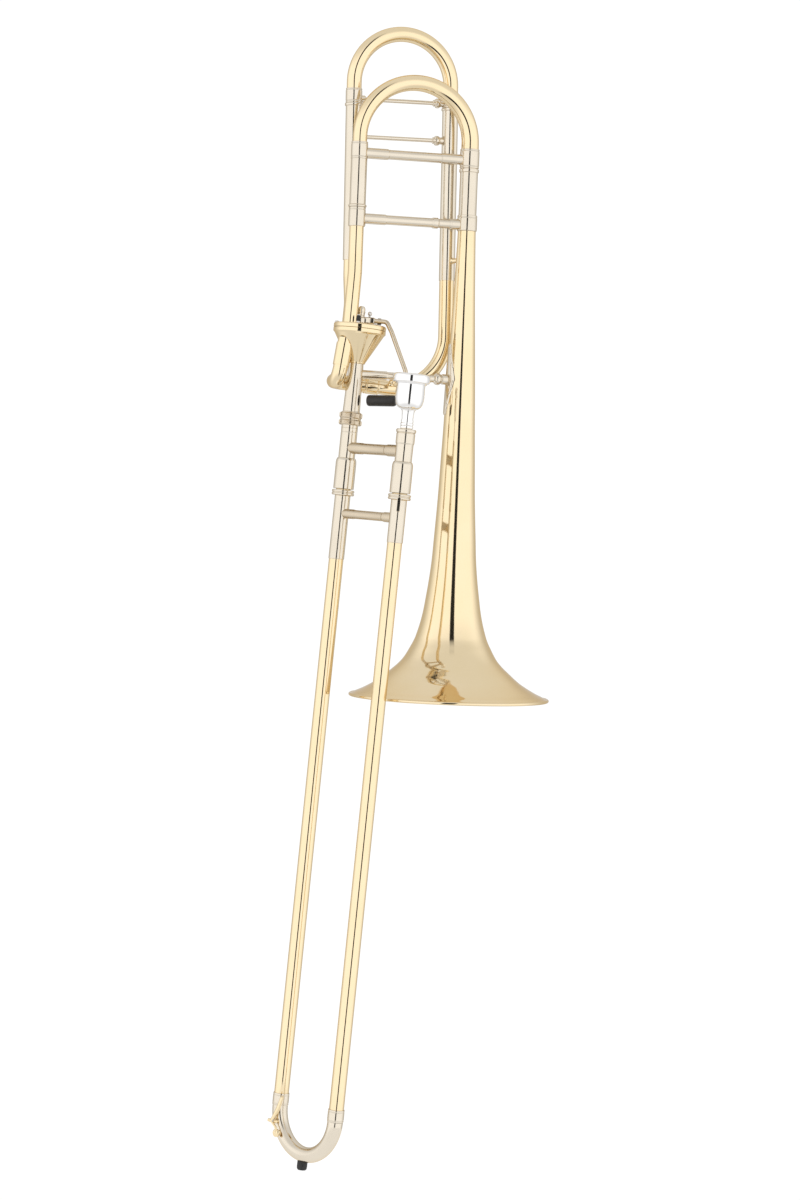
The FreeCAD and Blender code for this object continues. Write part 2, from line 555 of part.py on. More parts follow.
def make_water_key(dish):
    """Water key: nipple, saddle, lever with its cup, cork, spring and screw."""
    aim = (key_point(-0.6, 0.8, 0)).normalize()
    mouth = key_point(0.0, 15.8, 33)
    base = mouth - aim * 9.0
    nipple = lathe([(1.6, 0), (4.4, 0), (4.4, 1.4), (3.0, 3.0), (3.0, 9.0), (1.6, 9.0)], base, aim).cut(dish)
    cork = lathe([(0, 0), (3.4, 0), (3.4, 1.6), (0, 1.6)], mouth + aim * 0.02, aim)
    cup = lathe([(0, 1.6), (3.4, 1.6), (3.4, 0.5), (4.2, 0.5), (4.2, 2.6), (3.0, 3.2), (0, 3.2)],
                mouth + aim * 0.02, aim)
    pivot = key_point(-6.6, 11.2, 44.5)
    axle = key_point(0.8, 0.6, 0).normalize()
    barrel = rod(pivot - axle * 3.4, pivot + axle * 3.4, 1.9)
    arm_root = mouth + aim * 3.0
    knee = arm_root + UP * 6.0
    elbow = key_point(-1.6, 14.5, 58)
    limbs = [barrel]
    for start, end, radius in ((arm_root, knee, 1.3), (knee, pivot + aim * 1.0, 1.15),
                               (pivot + aim * 0.7, elbow, 1.75), (elbow, key_point(1.6, 16.2, 71), 1.7)):
        limbs.append(rod(start, end, radius))
        limbs.append(Part.makeSphere(radius + 0.05, end))
    lever = cup.fuse(limbs).cut(rod(pivot - axle * 6, pivot + axle * 6, 0.95))
    posts = []
    for side in (-1, 1):
        ear = pivot + axle * (side * 4.4)
        posts.append(rod(ear - axle * 0.9, ear + axle * 0.9, 1.7))
        posts.append(rod(ear, ear - aim * 7.5, 0.9))
    pad = rod(pivot - aim * 9.2, pivot - aim * 3.4, 5.6)
    saddle = pad.fuse(posts).cut(dish).cut(rod(pivot - axle * 6, pivot + axle * 6, 0.9))
    tube_a = Part.makeCylinder(8.7, 40, Vector(0, 0, CROOK_Z), UP)
    saddle = saddle.cut(tube_a).cut(rod(pivot - axle * 3.46, pivot + axle * 3.46, 2.9))
    shank = rod(pivot - axle * 5.3, pivot + axle * 5.3, 0.88)
    screw = shank.fuse(rod(pivot + axle * 5.3, pivot + axle * 6.3, 1.8))
    return {"water_key_base": Part.makeCompound([nipple, saddle]), "water_key_cork": cork,
            "water_key_lever": lever, "water_key_screw": screw}


def make_mouthpiece():
    """One-piece mouthpiece: shank, throat, cup and rounded rim."""
    outline = [
        (4.2, 762.0), (5.93, 762.0), (6.32, 788.5), (6.8, 806.0), (8.3, 810.0), (10.6, CUP_Z), (13.0, 813.2),
        (14.9, 817.5), (15.3, 823.0), (15.1, RIM_LOW_Z - 1.2), (16.0, RIM_LOW_Z), (18.9, RIM_LOW_Z + 0.4),
        (RIM_R, RIM_LOW_Z + 2.2), (RIM_R, RIM_TOP_Z - 3.0), (18.6, RIM_TOP_Z - 0.9), (16.6, RIM_TOP_Z),
        (14.4, RIM_TOP_Z - 0.7), (12.9, RIM_TOP_Z - 3.4), (12.2, RIM_TOP_Z - 9), (9.8, RIM_TOP_Z - 19),
        (6.4, RIM_TOP_Z - 27), (3.6, RIM_TOP_Z - 32), (3.4, RIM_TOP_Z - 38)]
    return {"mouthpiece": lathe(outline, M_STEP)}


def make_all():
    """Build every node of the instrument."""
    parts = {}
    for maker in (make_bell, make_main_slide, make_main_fixed, make_f_slide, make_f_fixed, make_valve,
                  make_bell_lock, make_inner_slide, make_outer_slide, make_mouthpiece):
        parts.update(maker())
    return parts


os.makedirs("parts", exist_ok=True)
for node, built in make_all().items():
    built.translate(A_AXIS)
    built.exportStep("parts/" + node + ".step")
    box = built.BoundBox
    print("%-24s valid %s solids %d vol %9.1f z %7.1f..%7.1f" % (
        node, built.isValid(), len(built.Solids), built.Volume, box.ZMin, box.ZMax))
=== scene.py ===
"""Looks of a tenor trombone with an F attachment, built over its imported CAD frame."""
import logging
import math
from dataclasses import dataclass
from enum import Enum
from typing import Callable, Iterable, Optional, Sequence

import bpy
import bmesh
from mathutils import Matrix, Vector


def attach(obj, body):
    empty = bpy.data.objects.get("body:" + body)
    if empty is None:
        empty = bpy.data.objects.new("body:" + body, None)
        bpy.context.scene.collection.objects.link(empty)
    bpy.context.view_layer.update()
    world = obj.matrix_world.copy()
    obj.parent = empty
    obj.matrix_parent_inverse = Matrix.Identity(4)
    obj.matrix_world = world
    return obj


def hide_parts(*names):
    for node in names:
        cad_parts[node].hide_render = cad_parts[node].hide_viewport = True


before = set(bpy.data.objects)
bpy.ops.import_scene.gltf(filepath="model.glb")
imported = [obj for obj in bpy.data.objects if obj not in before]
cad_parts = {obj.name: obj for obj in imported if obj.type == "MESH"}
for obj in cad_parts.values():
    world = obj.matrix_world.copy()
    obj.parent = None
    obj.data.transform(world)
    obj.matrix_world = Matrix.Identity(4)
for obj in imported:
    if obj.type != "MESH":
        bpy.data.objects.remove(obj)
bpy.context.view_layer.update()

LOG = logging.getLogger("trombone")
Point = tuple[float, float]
Spot = tuple[float, float, float]

SLIDE_SPACING = 88.0
SLIDE_AZIMUTH = -61.4
HALF_STEP = Vector((math.cos(math.radians(SLIDE_AZIMUTH)), math.sin(math.radians(SLIDE_AZIMUTH)), 0.0))
AXIS_A = HALF_STEP * (-SLIDE_SPACING / 2)
MOUTH_STEP = HALF_STEP * SLIDE_SPACING
UP = Vector((0.0, 0.0, 1.0))


class Body(Enum):
    """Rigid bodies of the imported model."""

    BELL = "bell_section"
    MAIN_TUNING = "main_tuning_slide"
    F_TUNING = "f_tuning_slide"
    VALVE = "rotor_and_lever"
    INNER = "inner_slide"
    NUT = "lock_nut"
    MOUTHPIECE = "mouthpiece"
    OUTER = "outer_slide"
    LOCK_RING = "slide_lock"
    WATER_KEY = "water_key"


# ---------------------------------------------------------------- finishes


@dataclass(frozen=True)
class Metal:
    """A polished, lacquered or plated metal finish."""

    name: str
    slot: str
    color: tuple[float, float, float]
    shade: tuple[float, float, float]
    edge: tuple[float, float, float]
    roughness: float = 0.07
    rough_spread: float = 0.05
    coat: float = 0.0
    grain: float = 0.02
    grain_scale: float = 220.0
    cloud_scale: float = 22.0

    def build(self) -> bpy.types.Material:
        """Make the node material.

        Returns:
            The material, with colour clouding, roughness variation and a fine polish grain.
        """
        mat = bpy.data.materials.new(self.name)
        mat.use_nodes = True
        tree = mat.node_tree
        shader = tree.nodes["Principled BSDF"]
        shader.inputs["Metallic"].default_value = 1.0
        shader.inputs["Specular Tint"].default_value = (*self.edge, 1.0)
        shader.inputs["Coat Weight"].default_value = self.coat
        shader.inputs["Coat Roughness"].default_value = 0.04
        shader.inputs["Coat IOR"].default_value = 1.5
        weave(tree, (self.cloud_scale, 3.0), (0.32, self.shade, 0.66, self.color), (self.cloud_scale * 3.1, 4.0),
              (self.roughness, self.roughness + self.rough_spread), (self.grain_scale, 2.0), (self.grain, 0.0004))
        return mat


@dataclass(frozen=True)
class Soft:
    """A matt black or cork finish."""

    name: str
    slot: str
    color: tuple[float, float, float]
    fleck: tuple[float, float, float]
    roughness: float = 0.55
    grain_scale: float = 900.0
    grain: float = 0.35

    def build(self) -> bpy.types.Material:
        """Make the node material.

        Returns:
            The material, with flecked colour, roughness variation and a moulded grain.
        """
        mat = bpy.data.materials.new(self.name)
        mat.use_nodes = True
        tree = mat.node_tree
        fleck = (self.grain_scale * 0.6, 5.0)
        weave(tree, fleck, (0.42, self.color, 0.72, self.fleck), fleck, (self.roughness - 0.08, self.roughness + 0.12),
              (self.grain_scale, 3.0), (self.grain, 0.0002))
        return mat


def weave(tree: bpy.types.NodeTree, tone: Point, ramp_stops: tuple, smudge: Point, roughness: Point,
          grain: Point, bump_size: Point) -> None:
    """Wire colour, roughness and bump to noise on object coordinates.

    Args:
        tree: Node tree holding a Principled shader.
        tone: Scale and detail of the colour noise.
        ramp_stops: Position and colour of the two ramp ends.
        smudge: Scale and detail of the roughness noise.
        roughness: Lowest and highest roughness.
        grain: Scale and detail of the bump noise.
        bump_size: Strength and distance of the bump.
    """
    shader = tree.nodes["Principled BSDF"]
    place = tree.nodes.new("ShaderNodeTexCoord")
    outputs = []
    for scale, detail in (tone, smudge, grain):
        noise = tree.nodes.new("ShaderNodeTexNoise")
        noise.inputs["Scale"].default_value = scale
        noise.inputs["Detail"].default_value = detail
        tree.links.new(place.outputs["Object"], noise.inputs["Vector"])
        outputs.append(noise.outputs["Fac"])
    ramp = tree.nodes.new("ShaderNodeValToRGB")
    for stop, position, color in zip(ramp.color_ramp.elements, ramp_stops[::2], ramp_stops[1::2]):
        stop.position = position
        stop.color = (*color, 1.0)
    spread = tree.nodes.new("ShaderNodeMapRange")
    spread.inputs["To Min"].default_value, spread.inputs["To Max"].default_value = roughness
    bump = tree.nodes.new("ShaderNodeBump")
    bump.inputs["Strength"].default_value, bump.inputs["Distance"].default_value = bump_size
    for source, target in ((outputs[0], ramp.inputs["Fac"]), (ramp.outputs["Color"], shader.inputs["Base Color"]),
                           (outputs[1], spread.inputs["Value"]), (spread.outputs["Result"], shader.inputs["Roughness"]),
                           (outputs[2], bump.inputs["Height"]), (bump.outputs["Normal"], shader.inputs["Normal"])):
        tree.links.new(source, target)


BRASS = Metal("lacquered_brass", "brass", (0.86, 0.71, 0.47), (0.84, 0.69, 0.44),
              (0.88, 0.72, 0.49), 0.055, 0.03, 0.35)
NICKEL = Metal("nickel_silver", "nickel_silver", (0.74, 0.67, 0.56), (0.70, 0.63, 0.52),
               (0.88, 0.79, 0.66), 0.09, 0.04)
SATIN = Metal("satin_nickel", "nickel_silver", (0.63, 0.54, 0.41), (0.59, 0.50, 0.38), (0.80, 0.72, 0.60), 0.17, 0.05)
SILVER = Metal("silver_plate", "silver_plate", (0.93, 0.92, 0.91), (0.90, 0.89, 0.88), (1.0, 1.0, 1.0), 0.06, 0.03)
STEEL = Metal("bright_steel", "steel", (0.66, 0.63, 0.60), (0.60, 0.57, 0.54), (0.9, 0.9, 0.9), 0.14, 0.06)
RUBBER = Soft("black_rubber", "black_rubber", (0.010, 0.010, 0.010), (0.030, 0.028, 0.026), 0.62, 700.0, 0.45)
GRIP = Soft("black_grip", "black_grip", (0.012, 0.009, 0.007), (0.022, 0.017, 0.013), 0.30, 500.0, 0.06)
CORK = Soft("cork", "cork", (0.46, 0.28, 0.14), (0.66, 0.46, 0.28), 0.85, 420.0, 0.6)
FINISHES = (BRASS, NICKEL, SATIN, SILVER, STEEL, RUBBER, GRIP, CORK)
MATERIALS: dict[str, bpy.types.Material] = {}


# ---------------------------------------------------------------- frames and outlines


@dataclass(frozen=True)
class SectionFrame:
    """A section's own frame: origin in the slide frame and lean about Y, in mm and degrees."""

    origin: Spot = (0.0, 0.0, 0.0)
    lean: float = 0.0

    def matrix(self) -> Matrix:
        """Matrix from section millimetres to slide-frame millimetres."""
        return Matrix.Translation(Vector(self.origin)) @ Matrix.Rotation(math.radians(-self.lean), 4, "Y")

    def at(self, x: float, z: float, y: float = 0.0) -> Vector:
        """Slide-frame position of a point in this section."""
        return self.matrix() @ Vector((x, y, z))


SLIDE = SectionFrame()
BELL = SectionFrame((138.3, -4.0, 510.3), 3.78)
F_LOOP = SectionFrame((24.9, 22.0, 1159.2), 4.85)
TO_ROW = Matrix.Scale(0.001, 4) @ Matrix.Translation(AXIS_A)


def polar(radius: float, azimuth: float, z: float = 0.0) -> Vector:
    """Point at a radius and azimuth (degrees) about slide axis A."""
    turn = math.radians(azimuth)
    return Vector((radius * math.cos(turn), radius * math.sin(turn), z))


def soften(outline: Sequence[Point], radius: float = 0.35, steps: int = 3) -> list[Point]:
    """Round the corners of a closed (radius, height) outline.

    Args:
        outline: Corners in order.
        radius: Largest corner radius in mm.
        steps: Points per rounded corner, less one.

    Returns:
        The rounded outline. Corners on the axis stay sharp.
    """
    count = len(outline)
    result: list[Point] = []
    for index, (r, z) in enumerate(outline):
        here = Vector((r, z))
        back = Vector(outline[index - 1]) - here
        ahead = Vector(outline[(index + 1) % count]) - here
        if r < 1e-6 or back.length < 1e-6 or ahead.length < 1e-6:
            result.append((r, z))
            continue
        turn = math.pi - back.angle(ahead)
        if turn < math.radians(12):
            result.append((r, z))
            continue
        reach = min(radius * math.tan(turn / 2), back.length * 0.45, ahead.length * 0.45)
        first = here + back.normalized() * reach
        last = here + ahead.normalized() * reach
        for step in range(steps + 1):
            t = step / steps
            spot = first * (1 - t) ** 2 + here * (2 * t * (1 - t)) + last * t * t
            result.append((spot.x, spot.y))
    return result


def smooth_curve(points: Sequence[Point], per_span: int = 5) -> list[Point]:
    """Catmull-Rom curve through (radius, height) points.

    Args:
        points: Points to join, in order.
        per_span: Points between two neighbours.

    Returns:
        The curve as points.
    """
    result: list[Point] = []
    for index in range(len(points) - 1):
        p0 = Vector(points[max(index - 1, 0)])
        p1 = Vector(points[index])
        p2 = Vector(points[index + 1])
        p3 = Vector(points[min(index + 2, len(points) - 1)])
        for step in range(per_span):
            t = step / per_span
            spot = 0.5 * ((2 * p1) + (p2 - p0) * t + (2 * p0 - 5 * p1 + 4 * p2 - p3) * t * t
                          + (3 * p1 - p0 - 3 * p2 + p3) * t ** 3)
            result.append((spot.x, spot.y))
    result.append(tuple(points[-1]))
    return result


def route(points: Sequence[Vector], bends: Sequence[float], arc_steps: int = 14) -> list[Vector]:
    """Points along a polyline whose corners are rounded to tangent arcs.

    Args:
        points: Corner points in mm.
        bends: Bend radius at each inner corner.
        arc_steps: Spans on each arc.

    Returns:
        Path points from the first to the last corner.
    """
    path = [points[0].copy()]
    for index in range(1, len(points) - 1):
        here = points[index]
        back = (points[index - 1] - here).normalized()
        ahead = (points[index + 1] - here).normalized()
        half = back.angle(ahead) / 2
        radius = bends[index - 1]
        middle = (back + ahead).normalized()
        centre = here + middle * (radius / math.sin(half))
        start = here + back * (radius / math.tan(half)) - centre
        sweep = math.pi - 2 * half
        axis = back.cross(ahead).normalized()
        for step in range(arc_steps + 1):
            spot = centre + Matrix.Rotation(-sweep * step / arc_steps, 3, axis) @ start
            if (spot - path[-1]).length > 1e-4:
                path.append(spot)
    if (points[-1] - path[-1]).length > 1e-4:
        path.append(points[-1].copy())
    return path


def arc_path(centre: Vector, radius: float, first: float, last: float, steps: int) -> list[Vector]:
    """Points round an arc in the XZ plane, angles in degrees from +X.

    Args:
        centre: Centre in mm.
        radius: Distance from the axis, or corner or bend radius, in mm.
        first: First angle in degrees.
        last: Last angle in degrees.
        steps: Number of spans or facets.

    Returns:
        The points.
    """
    spots = []
    for step in range(steps + 1):
        angle = math.radians(first + (last - first) * step / steps)
        spots.append(centre + Vector((math.cos(angle), 0.0, math.sin(angle))) * radius)
    return spots


def meet(spot: Vector, heading: Vector, surface: Callable[[Vector], float], reach: float = 26.0) -> Vector:
    """Slide a point back along a heading until it lies on a surface.

    Args:
        spot: Point in mm.
        heading: Direction to slide back along.
        surface: Signed distance to the surface, positive outside it.
        reach: Farthest slide in mm.

    Returns:
        The moved point.
    """
    near, far = 0.0, reach
    for _ in range(24):
        middle = (near + far) / 2
        if surface(spot - heading * middle) > 0:
            far = middle
        else:
            near = middle
    return spot - heading * near


# ---------------------------------------------------------------- mesh building


class Former:
    """Collects closed shells of one piece and emits it as a Blender object."""

    def __init__(self, place: Optional[SectionFrame] = None) -> None:
        """Start an empty piece in a section frame."""
        self.mesh = bmesh.new()
        self.place = place or SLIDE

    def turn(self, outline: Sequence[Point], at: Optional[Vector] = None, along: Vector = UP,
             steps: int = 72) -> "Former":
        """Add a shell turned on a lathe.

        Args:
            outline: Closed (radius, height) outline.
            at: Base point in the section frame.
            along: Lathe axis.
            steps: Facets round the axis.

        Returns:
            This former.
        """
        basis = Matrix.Translation(at or Vector()) @ along.normalized().to_track_quat("Z", "Y").to_matrix().to_4x4()
        rings: list[list[bmesh.types.BMVert]] = []
        for r, z in outline:
            if r < 1e-6:
                rings.append([self.mesh.verts.new(basis @ Vector((0, 0, z)))])
            else:
                rings.append([self.mesh.verts.new(basis @ Vector((
                    r * math.cos(math.tau * k / steps), r * math.sin(math.tau * k / steps), z)))
                    for k in range(steps)])
        for low, high in zip(rings, rings[1:] + rings[:1]):
            if len(low) == 1 and len(high) == 1:
                continue
            for k in range(steps):
                n = (k + 1) % steps
                corners = [low[k % len(low)], low[n % len(low)], high[n % len(high)], high[k % len(high)]]
                unique = list(dict.fromkeys(corners))
                if len(unique) > 2:
                    self.mesh.faces.new(unique)
        return self

    def sleeve(self, r_in: float, r_out: float, low: float, high: float, at: Optional[Vector] = None,
               edge: float = 0.25, steps: int = 72) -> "Former":
        """Add a round sleeve with softened edges."""
        return self.turn(soften([(r_in, low), (r_out, low), (r_out, high), (r_in, high)], edge), at, UP, steps)

    def pipe(self, path: Sequence[Vector], outer: Callable[[float], float], wall: float = 0.0,
             steps: int = 40, surface: Optional[Callable[[Vector], float]] = None) -> "Former":
        """Add a tube or rod along a path.

        Args:
            path: Path points.
            outer: Outer radius against the fraction of the path's length.
            wall: Wall thickness, or 0 for a solid rod.
            steps: Facets round the tube.
            surface: Signed distance to a surface that the far end is cut to, positive outside it.

        Returns:
            This former.
        """
        total = sum((b - a).length for a, b in zip(path, path[1:]))
        normal = (path[1] - path[0]).orthogonal().normalized()
        travelled = 0.0
        shells: list[list[list[bmesh.types.BMVert]]] = [[], []]
        for index, spot in enumerate(path):
            before = path[max(index - 1, 0)]
            after = path[min(index + 1, len(path) - 1)]
            heading = (after - before).normalized()
            travelled += (spot - before).length
            normal = (normal - heading * normal.dot(heading)).normalized()
            side = heading.cross(normal)
            size = outer(travelled / total)
            for shell, radius in zip(shells, (size, size - wall)):
                shell.append([self.mesh.verts.new(spot + (
                    normal * math.cos(math.tau * k / steps) + side * math.sin(math.tau * k / steps)) * radius)
                    for k in range(steps)] if radius > 0 and (wall > 0 or shell is shells[0]) else [])
        if surface:
            heading = (path[-1] - path[-2]).normalized()
            for shell in shells:
                for vert in (shell[-1] if shell else []):
                    vert.co = meet(vert.co, heading, surface)
        outside = shells[0]
        self._skin(outside)
        if wall > 0:
            self._skin(shells[1])
            self._skin([outside[0], shells[1][0]])
            self._skin([outside[-1], shells[1][-1]])
        else:
            for ring, spot in ((outside[0], path[0]), (outside[-1], path[-1])):
                hub = self.mesh.verts.new(spot)
                for k in range(steps):
                    self.mesh.faces.new([ring[k], ring[(k + 1) % steps], hub])
        return self

    def strut(self, start: Vector, end: Vector, stations: Sequence[Point], saddles: Point = (0.0, 0.0),
              edge: float = 0.5, steps: int = 48) -> "Former":
        """Add a turned brace whose ends are hollowed to sit on the tubes it joins.

        Args:
            start: Point on the first tube's axis.
            end: Point on the second tube's axis.
            stations: (radius, distance from start) pairs; negative distances count from the end.
            saddles: Outer radii of the two tubes.
            edge: Corner radius in mm.
            steps: Facets round the brace.

        Returns:
            This former.
        """
        way = end - start
        length = way.length
        along = way.normalized()
        lateral = along.cross(UP).normalized()
        places = [(r, d if d >= 0 else length + d) for r, d in stations]
        outline = [(0.0, saddles[0]), (places[0][0], 0.0)] + places[1:-1]
        outline += [(places[-1][0], length), (0.0, length - saddles[1])]
        known = len(self.mesh.verts)
        self.turn(soften(outline, edge), start, along, steps)
        self.mesh.verts.ensure_lookup_table()
        for vert in self.mesh.verts[known:]:
            offset = vert.co - start
            depth = offset.dot(along)
            aside = offset.dot(lateral)
            low = math.sqrt(max(saddles[0] ** 2 - aside ** 2, 0.0)) - 0.08
            high = length - math.sqrt(max(saddles[1] ** 2 - aside ** 2, 0.0)) + 0.08
            vert.co += along * (min(max(depth, low), high) - depth)
        return self

    def _skin(self, rings: Sequence[list[bmesh.types.BMVert]]) -> None:
        """Join neighbouring rings of equal length with quads.

        Args:
            rings: Loops of vertices.
        """
        for low, high in zip(rings, rings[1:]):
            for k in range(len(low)):
                n = (k + 1) % len(low)
                self.mesh.faces.new([low[k], low[n], high[n], high[k]])

    def grid(self, rows: Sequence[Sequence[Vector]]) -> "Former":
        """Add a closed block from rows of points: each row is a closed loop, ends are capped.

        Args:
            rows: Closed loops of points.

        Returns:
            This former.
        """
        rings = [[self.mesh.verts.new(spot) for spot in row] for row in rows]
        self._skin(rings)
        self.mesh.faces.new(rings[0])
        self.mesh.faces.new(list(reversed(rings[-1])))
        return self

    def emit(self, name: str, finish: Metal | Soft, body: Body, nodes: Iterable[str], angle: float = 32.0
             ) -> bpy.types.Object:
        """Finish the mesh, dress it, and fix it to the frame.

        Args:
            name: Piece name.
            finish: Finish of the piece.
            body: Body that the piece rides on.
            nodes: CAD nodes that it stands for.
            angle: Edges sharper than this stay crisp, in degrees.

        Returns:
            The new object.
        """
        bmesh.ops.recalc_face_normals(self.mesh, faces=self.mesh.faces)
        self.mesh.transform(TO_ROW @ self.place.matrix())
        data = bpy.data.meshes.new(name)
        self.mesh.to_mesh(data)
        self.mesh.free()
        return settle(bpy.data.objects.new(name, data), finish, body, nodes, angle)


def settle(piece: bpy.types.Object, finish: Metal | Soft, body: Body, nodes: Iterable[str],
           angle: float = 32.0) -> bpy.types.Object:
    """Shade, dress, link and attach a finished piece, and hide the CAD nodes that it stands for.

    Args:
        piece: Object whose place is in its mesh.
        finish: Finish of the piece.
        body: Body that it rides on.
        nodes: CAD nodes that it stands for.
        angle: Edges sharper than this stay crisp, in degrees.

    Returns:
        The same object.
    """
    if piece.name not in bpy.context.scene.collection.objects:
        bpy.context.scene.collection.objects.link(piece)
    piece.data.shade_smooth()
    piece.data.set_sharp_from_angle(angle=math.radians(angle))
    piece.data.materials.clear()
    piece.data.materials.append(MATERIALS[finish.name])
    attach(piece, body.value)
    names = list(nodes)
    if names:
        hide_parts(*names)
    LOG.info("%s rides on %s, %d faces", piece.name, body.value, len(piece.data.polygons))
    return piece


# ---------------------------------------------------------------- geometry nodes


def maths(tree: bpy.types.NodeTree, operation: str, *values: bpy.types.NodeSocket | float) -> bpy.types.NodeSocket:
    """Add a maths node.

    Args:
        tree: Node tree to add to.
        operation: Blender's name of the operation.
        values: Sockets or numbers to feed it.

    Returns:
        The node's output.
    """
    node = tree.nodes.new("ShaderNodeMath")
    node.operation = operation
    for socket, value in zip(node.inputs, values):
        if isinstance(value, bpy.types.NodeSocket):
            tree.links.new(value, socket)
        else:
            socket.default_value = value
    return node.outputs[0]


def ease(tree: bpy.types.NodeTree, value: bpy.types.NodeSocket, zero_at: float, one_at: float
         ) -> bpy.types.NodeSocket:
    """Add a smooth step from 0 at one value to 1 at another.

    Args:
        tree: Node tree to add to.
        value: Socket to map.
        zero_at: Value that gives 0.
        one_at: Value that gives 1.

    Returns:
        The mapped output.
    """
    node = tree.nodes.new("ShaderNodeMapRange")
    node.interpolation_type = "SMOOTHSTEP"
    node.inputs["From Min"].default_value = min(zero_at, one_at)
    node.inputs["From Max"].default_value = max(zero_at, one_at)
    node.inputs["To Min"].default_value = 0.0 if zero_at < one_at else 1.0
    node.inputs["To Max"].default_value = 1.0 if zero_at < one_at else 0.0
    tree.links.new(value, node.inputs["Value"])
    return node.outputs["Result"]


def open_tree(name: str, sizes: dict[str, float | int]) -> tuple[bpy.types.NodeTree, bpy.types.Node, dict[str, str]]:
    """Start a geometry node tree with a named input for each size.

    Args:
        name: Name of the tree.
        sizes: Input names and their values; whole numbers make integer inputs.

    Returns:
        The tree, its input node and the identifier of each input.
    """
    tree = bpy.data.node_groups.new(name, "GeometryNodeTree")
    tree.is_modifier = True
    tree.interface.new_socket("Geometry", in_out="INPUT", socket_type="NodeSocketGeometry")
    keys = {key: tree.interface.new_socket(key, in_out="INPUT", socket_type="NodeSocketInt" if isinstance(
        value, int) else "NodeSocketFloat").identifier for key, value in sizes.items()}
    tree.interface.new_socket("Geometry", in_out="OUTPUT", socket_type="NodeSocketGeometry")
    return tree, tree.nodes.new("NodeGroupInput"), keys


def bake(name: str, tree: bpy.types.NodeTree, made: bpy.types.NodeSocket, finish: Metal | Soft,
         sizes: dict[str, float | int], keys: dict[str, str], place: Matrix) -> bpy.types.Object:
    """Realize and dress a tree's geometry and turn it into a plain mesh.

    Args:
        name: Name of the result.
        tree: Geometry node tree.
        made: Socket with the finished geometry.
        finish: Finish set by the tree.
        sizes: Input names and their values.
        keys: Identifier of each input.
        place: Matrix from the tree's millimetres to slide-frame millimetres.

    Returns:
        A plain mesh object with its place in its mesh.
    """
    real = tree.nodes.new("GeometryNodeRealizeInstances")
    dress = tree.nodes.new("GeometryNodeSetMaterial")
    dress.inputs["Material"].default_value = MATERIALS[finish.name]
    tree.links.new(made, real.inputs[0])
    tree.links.new(real.outputs[0], dress.inputs["Geometry"])
    tree.links.new(dress.outputs[0], tree.nodes.new("NodeGroupOutput").inputs[0])
    holder = bpy.data.objects.new(name + "_holder", bpy.data.meshes.new(name + "_holder"))
    bpy.context.scene.collection.objects.link(holder)
    modifier = holder.modifiers.new("pattern", "NODES")
    modifier.node_group = tree
    for key, value in sizes.items():
        modifier[keys[key]] = value
    plain = plain_mesh(holder, name)
    plain.transform(TO_ROW @ place)
    bpy.data.objects.remove(holder)
    return bpy.data.objects.new(name, plain)


def ring_of_copies(name: str, item: bpy.types.Object, finish: Metal | Soft, count: int, radius: float,
                   rows: int, row_step: float, centre: Vector, first_angle: float = 0.0) -> bpy.types.Object:
    """Copies of an item in rings, made by geometry nodes and turned into a plain mesh.

    Args:
        name: Name of the result.
        item: Object to copy, built about its own origin with +X outward, in mm.
        finish: Finish set by the tree.
        count: Copies in each ring.
        radius: Ring radius in mm.
        rows: Number of rings.
        row_step: Height between rings in mm.
        centre: Centre of the lowest ring, in slide-frame mm.
        first_angle: Angle of the first copy in degrees.

    Returns:
        A plain mesh object with its place in its mesh.
    """
    sizes = {"Count": count, "Radius": float(radius), "Rows": rows, "Row Step": float(row_step),
             "First Angle": math.radians(first_angle)}
    tree, entry, keys = open_tree(name + "_rings", sizes)
    line = tree.nodes.new("GeometryNodeMeshLine")
    index = tree.nodes.new("GeometryNodeInputIndex").outputs[0]
    spot = tree.nodes.new("ShaderNodeCombineXYZ")
    turn = tree.nodes.new("ShaderNodeCombineXYZ")
    move = tree.nodes.new("GeometryNodeSetPosition")
    source = tree.nodes.new("GeometryNodeObjectInfo")
    source.inputs["Object"].default_value = item
    copies = tree.nodes.new("GeometryNodeInstanceOnPoints")
    rotate = tree.nodes.new("FunctionNodeEulerToRotation")
    share = maths(tree, "DIVIDE", index, entry.outputs["Count"])
    spin = maths(tree, "MULTIPLY_ADD", share, math.tau, entry.outputs["First Angle"])
    reach = entry.outputs["Radius"]
    level = maths(tree, "MULTIPLY", maths(tree, "FLOOR", share), entry.outputs["Row Step"])
    for made, target in (
            (maths(tree, "MULTIPLY", entry.outputs["Count"], entry.outputs["Rows"]), line.inputs["Count"]),
            (maths(tree, "MULTIPLY", maths(tree, "COSINE", spin), reach), spot.inputs["X"]),
            (maths(tree, "MULTIPLY", maths(tree, "SINE", spin), reach), spot.inputs["Y"]),
            (level, spot.inputs["Z"]), (spin, turn.inputs["Z"]), (turn.outputs[0], rotate.inputs[0]),
            (line.outputs[0], move.inputs["Geometry"]), (spot.outputs[0], move.inputs["Position"]),
            (move.outputs[0], copies.inputs["Points"]), (source.outputs["Geometry"], copies.inputs["Instance"]),
            (rotate.outputs[0], copies.inputs["Rotation"])):
        tree.links.new(made, target)
    return bake(name, tree, copies.outputs[0], finish, sizes, keys, Matrix.Translation(centre))


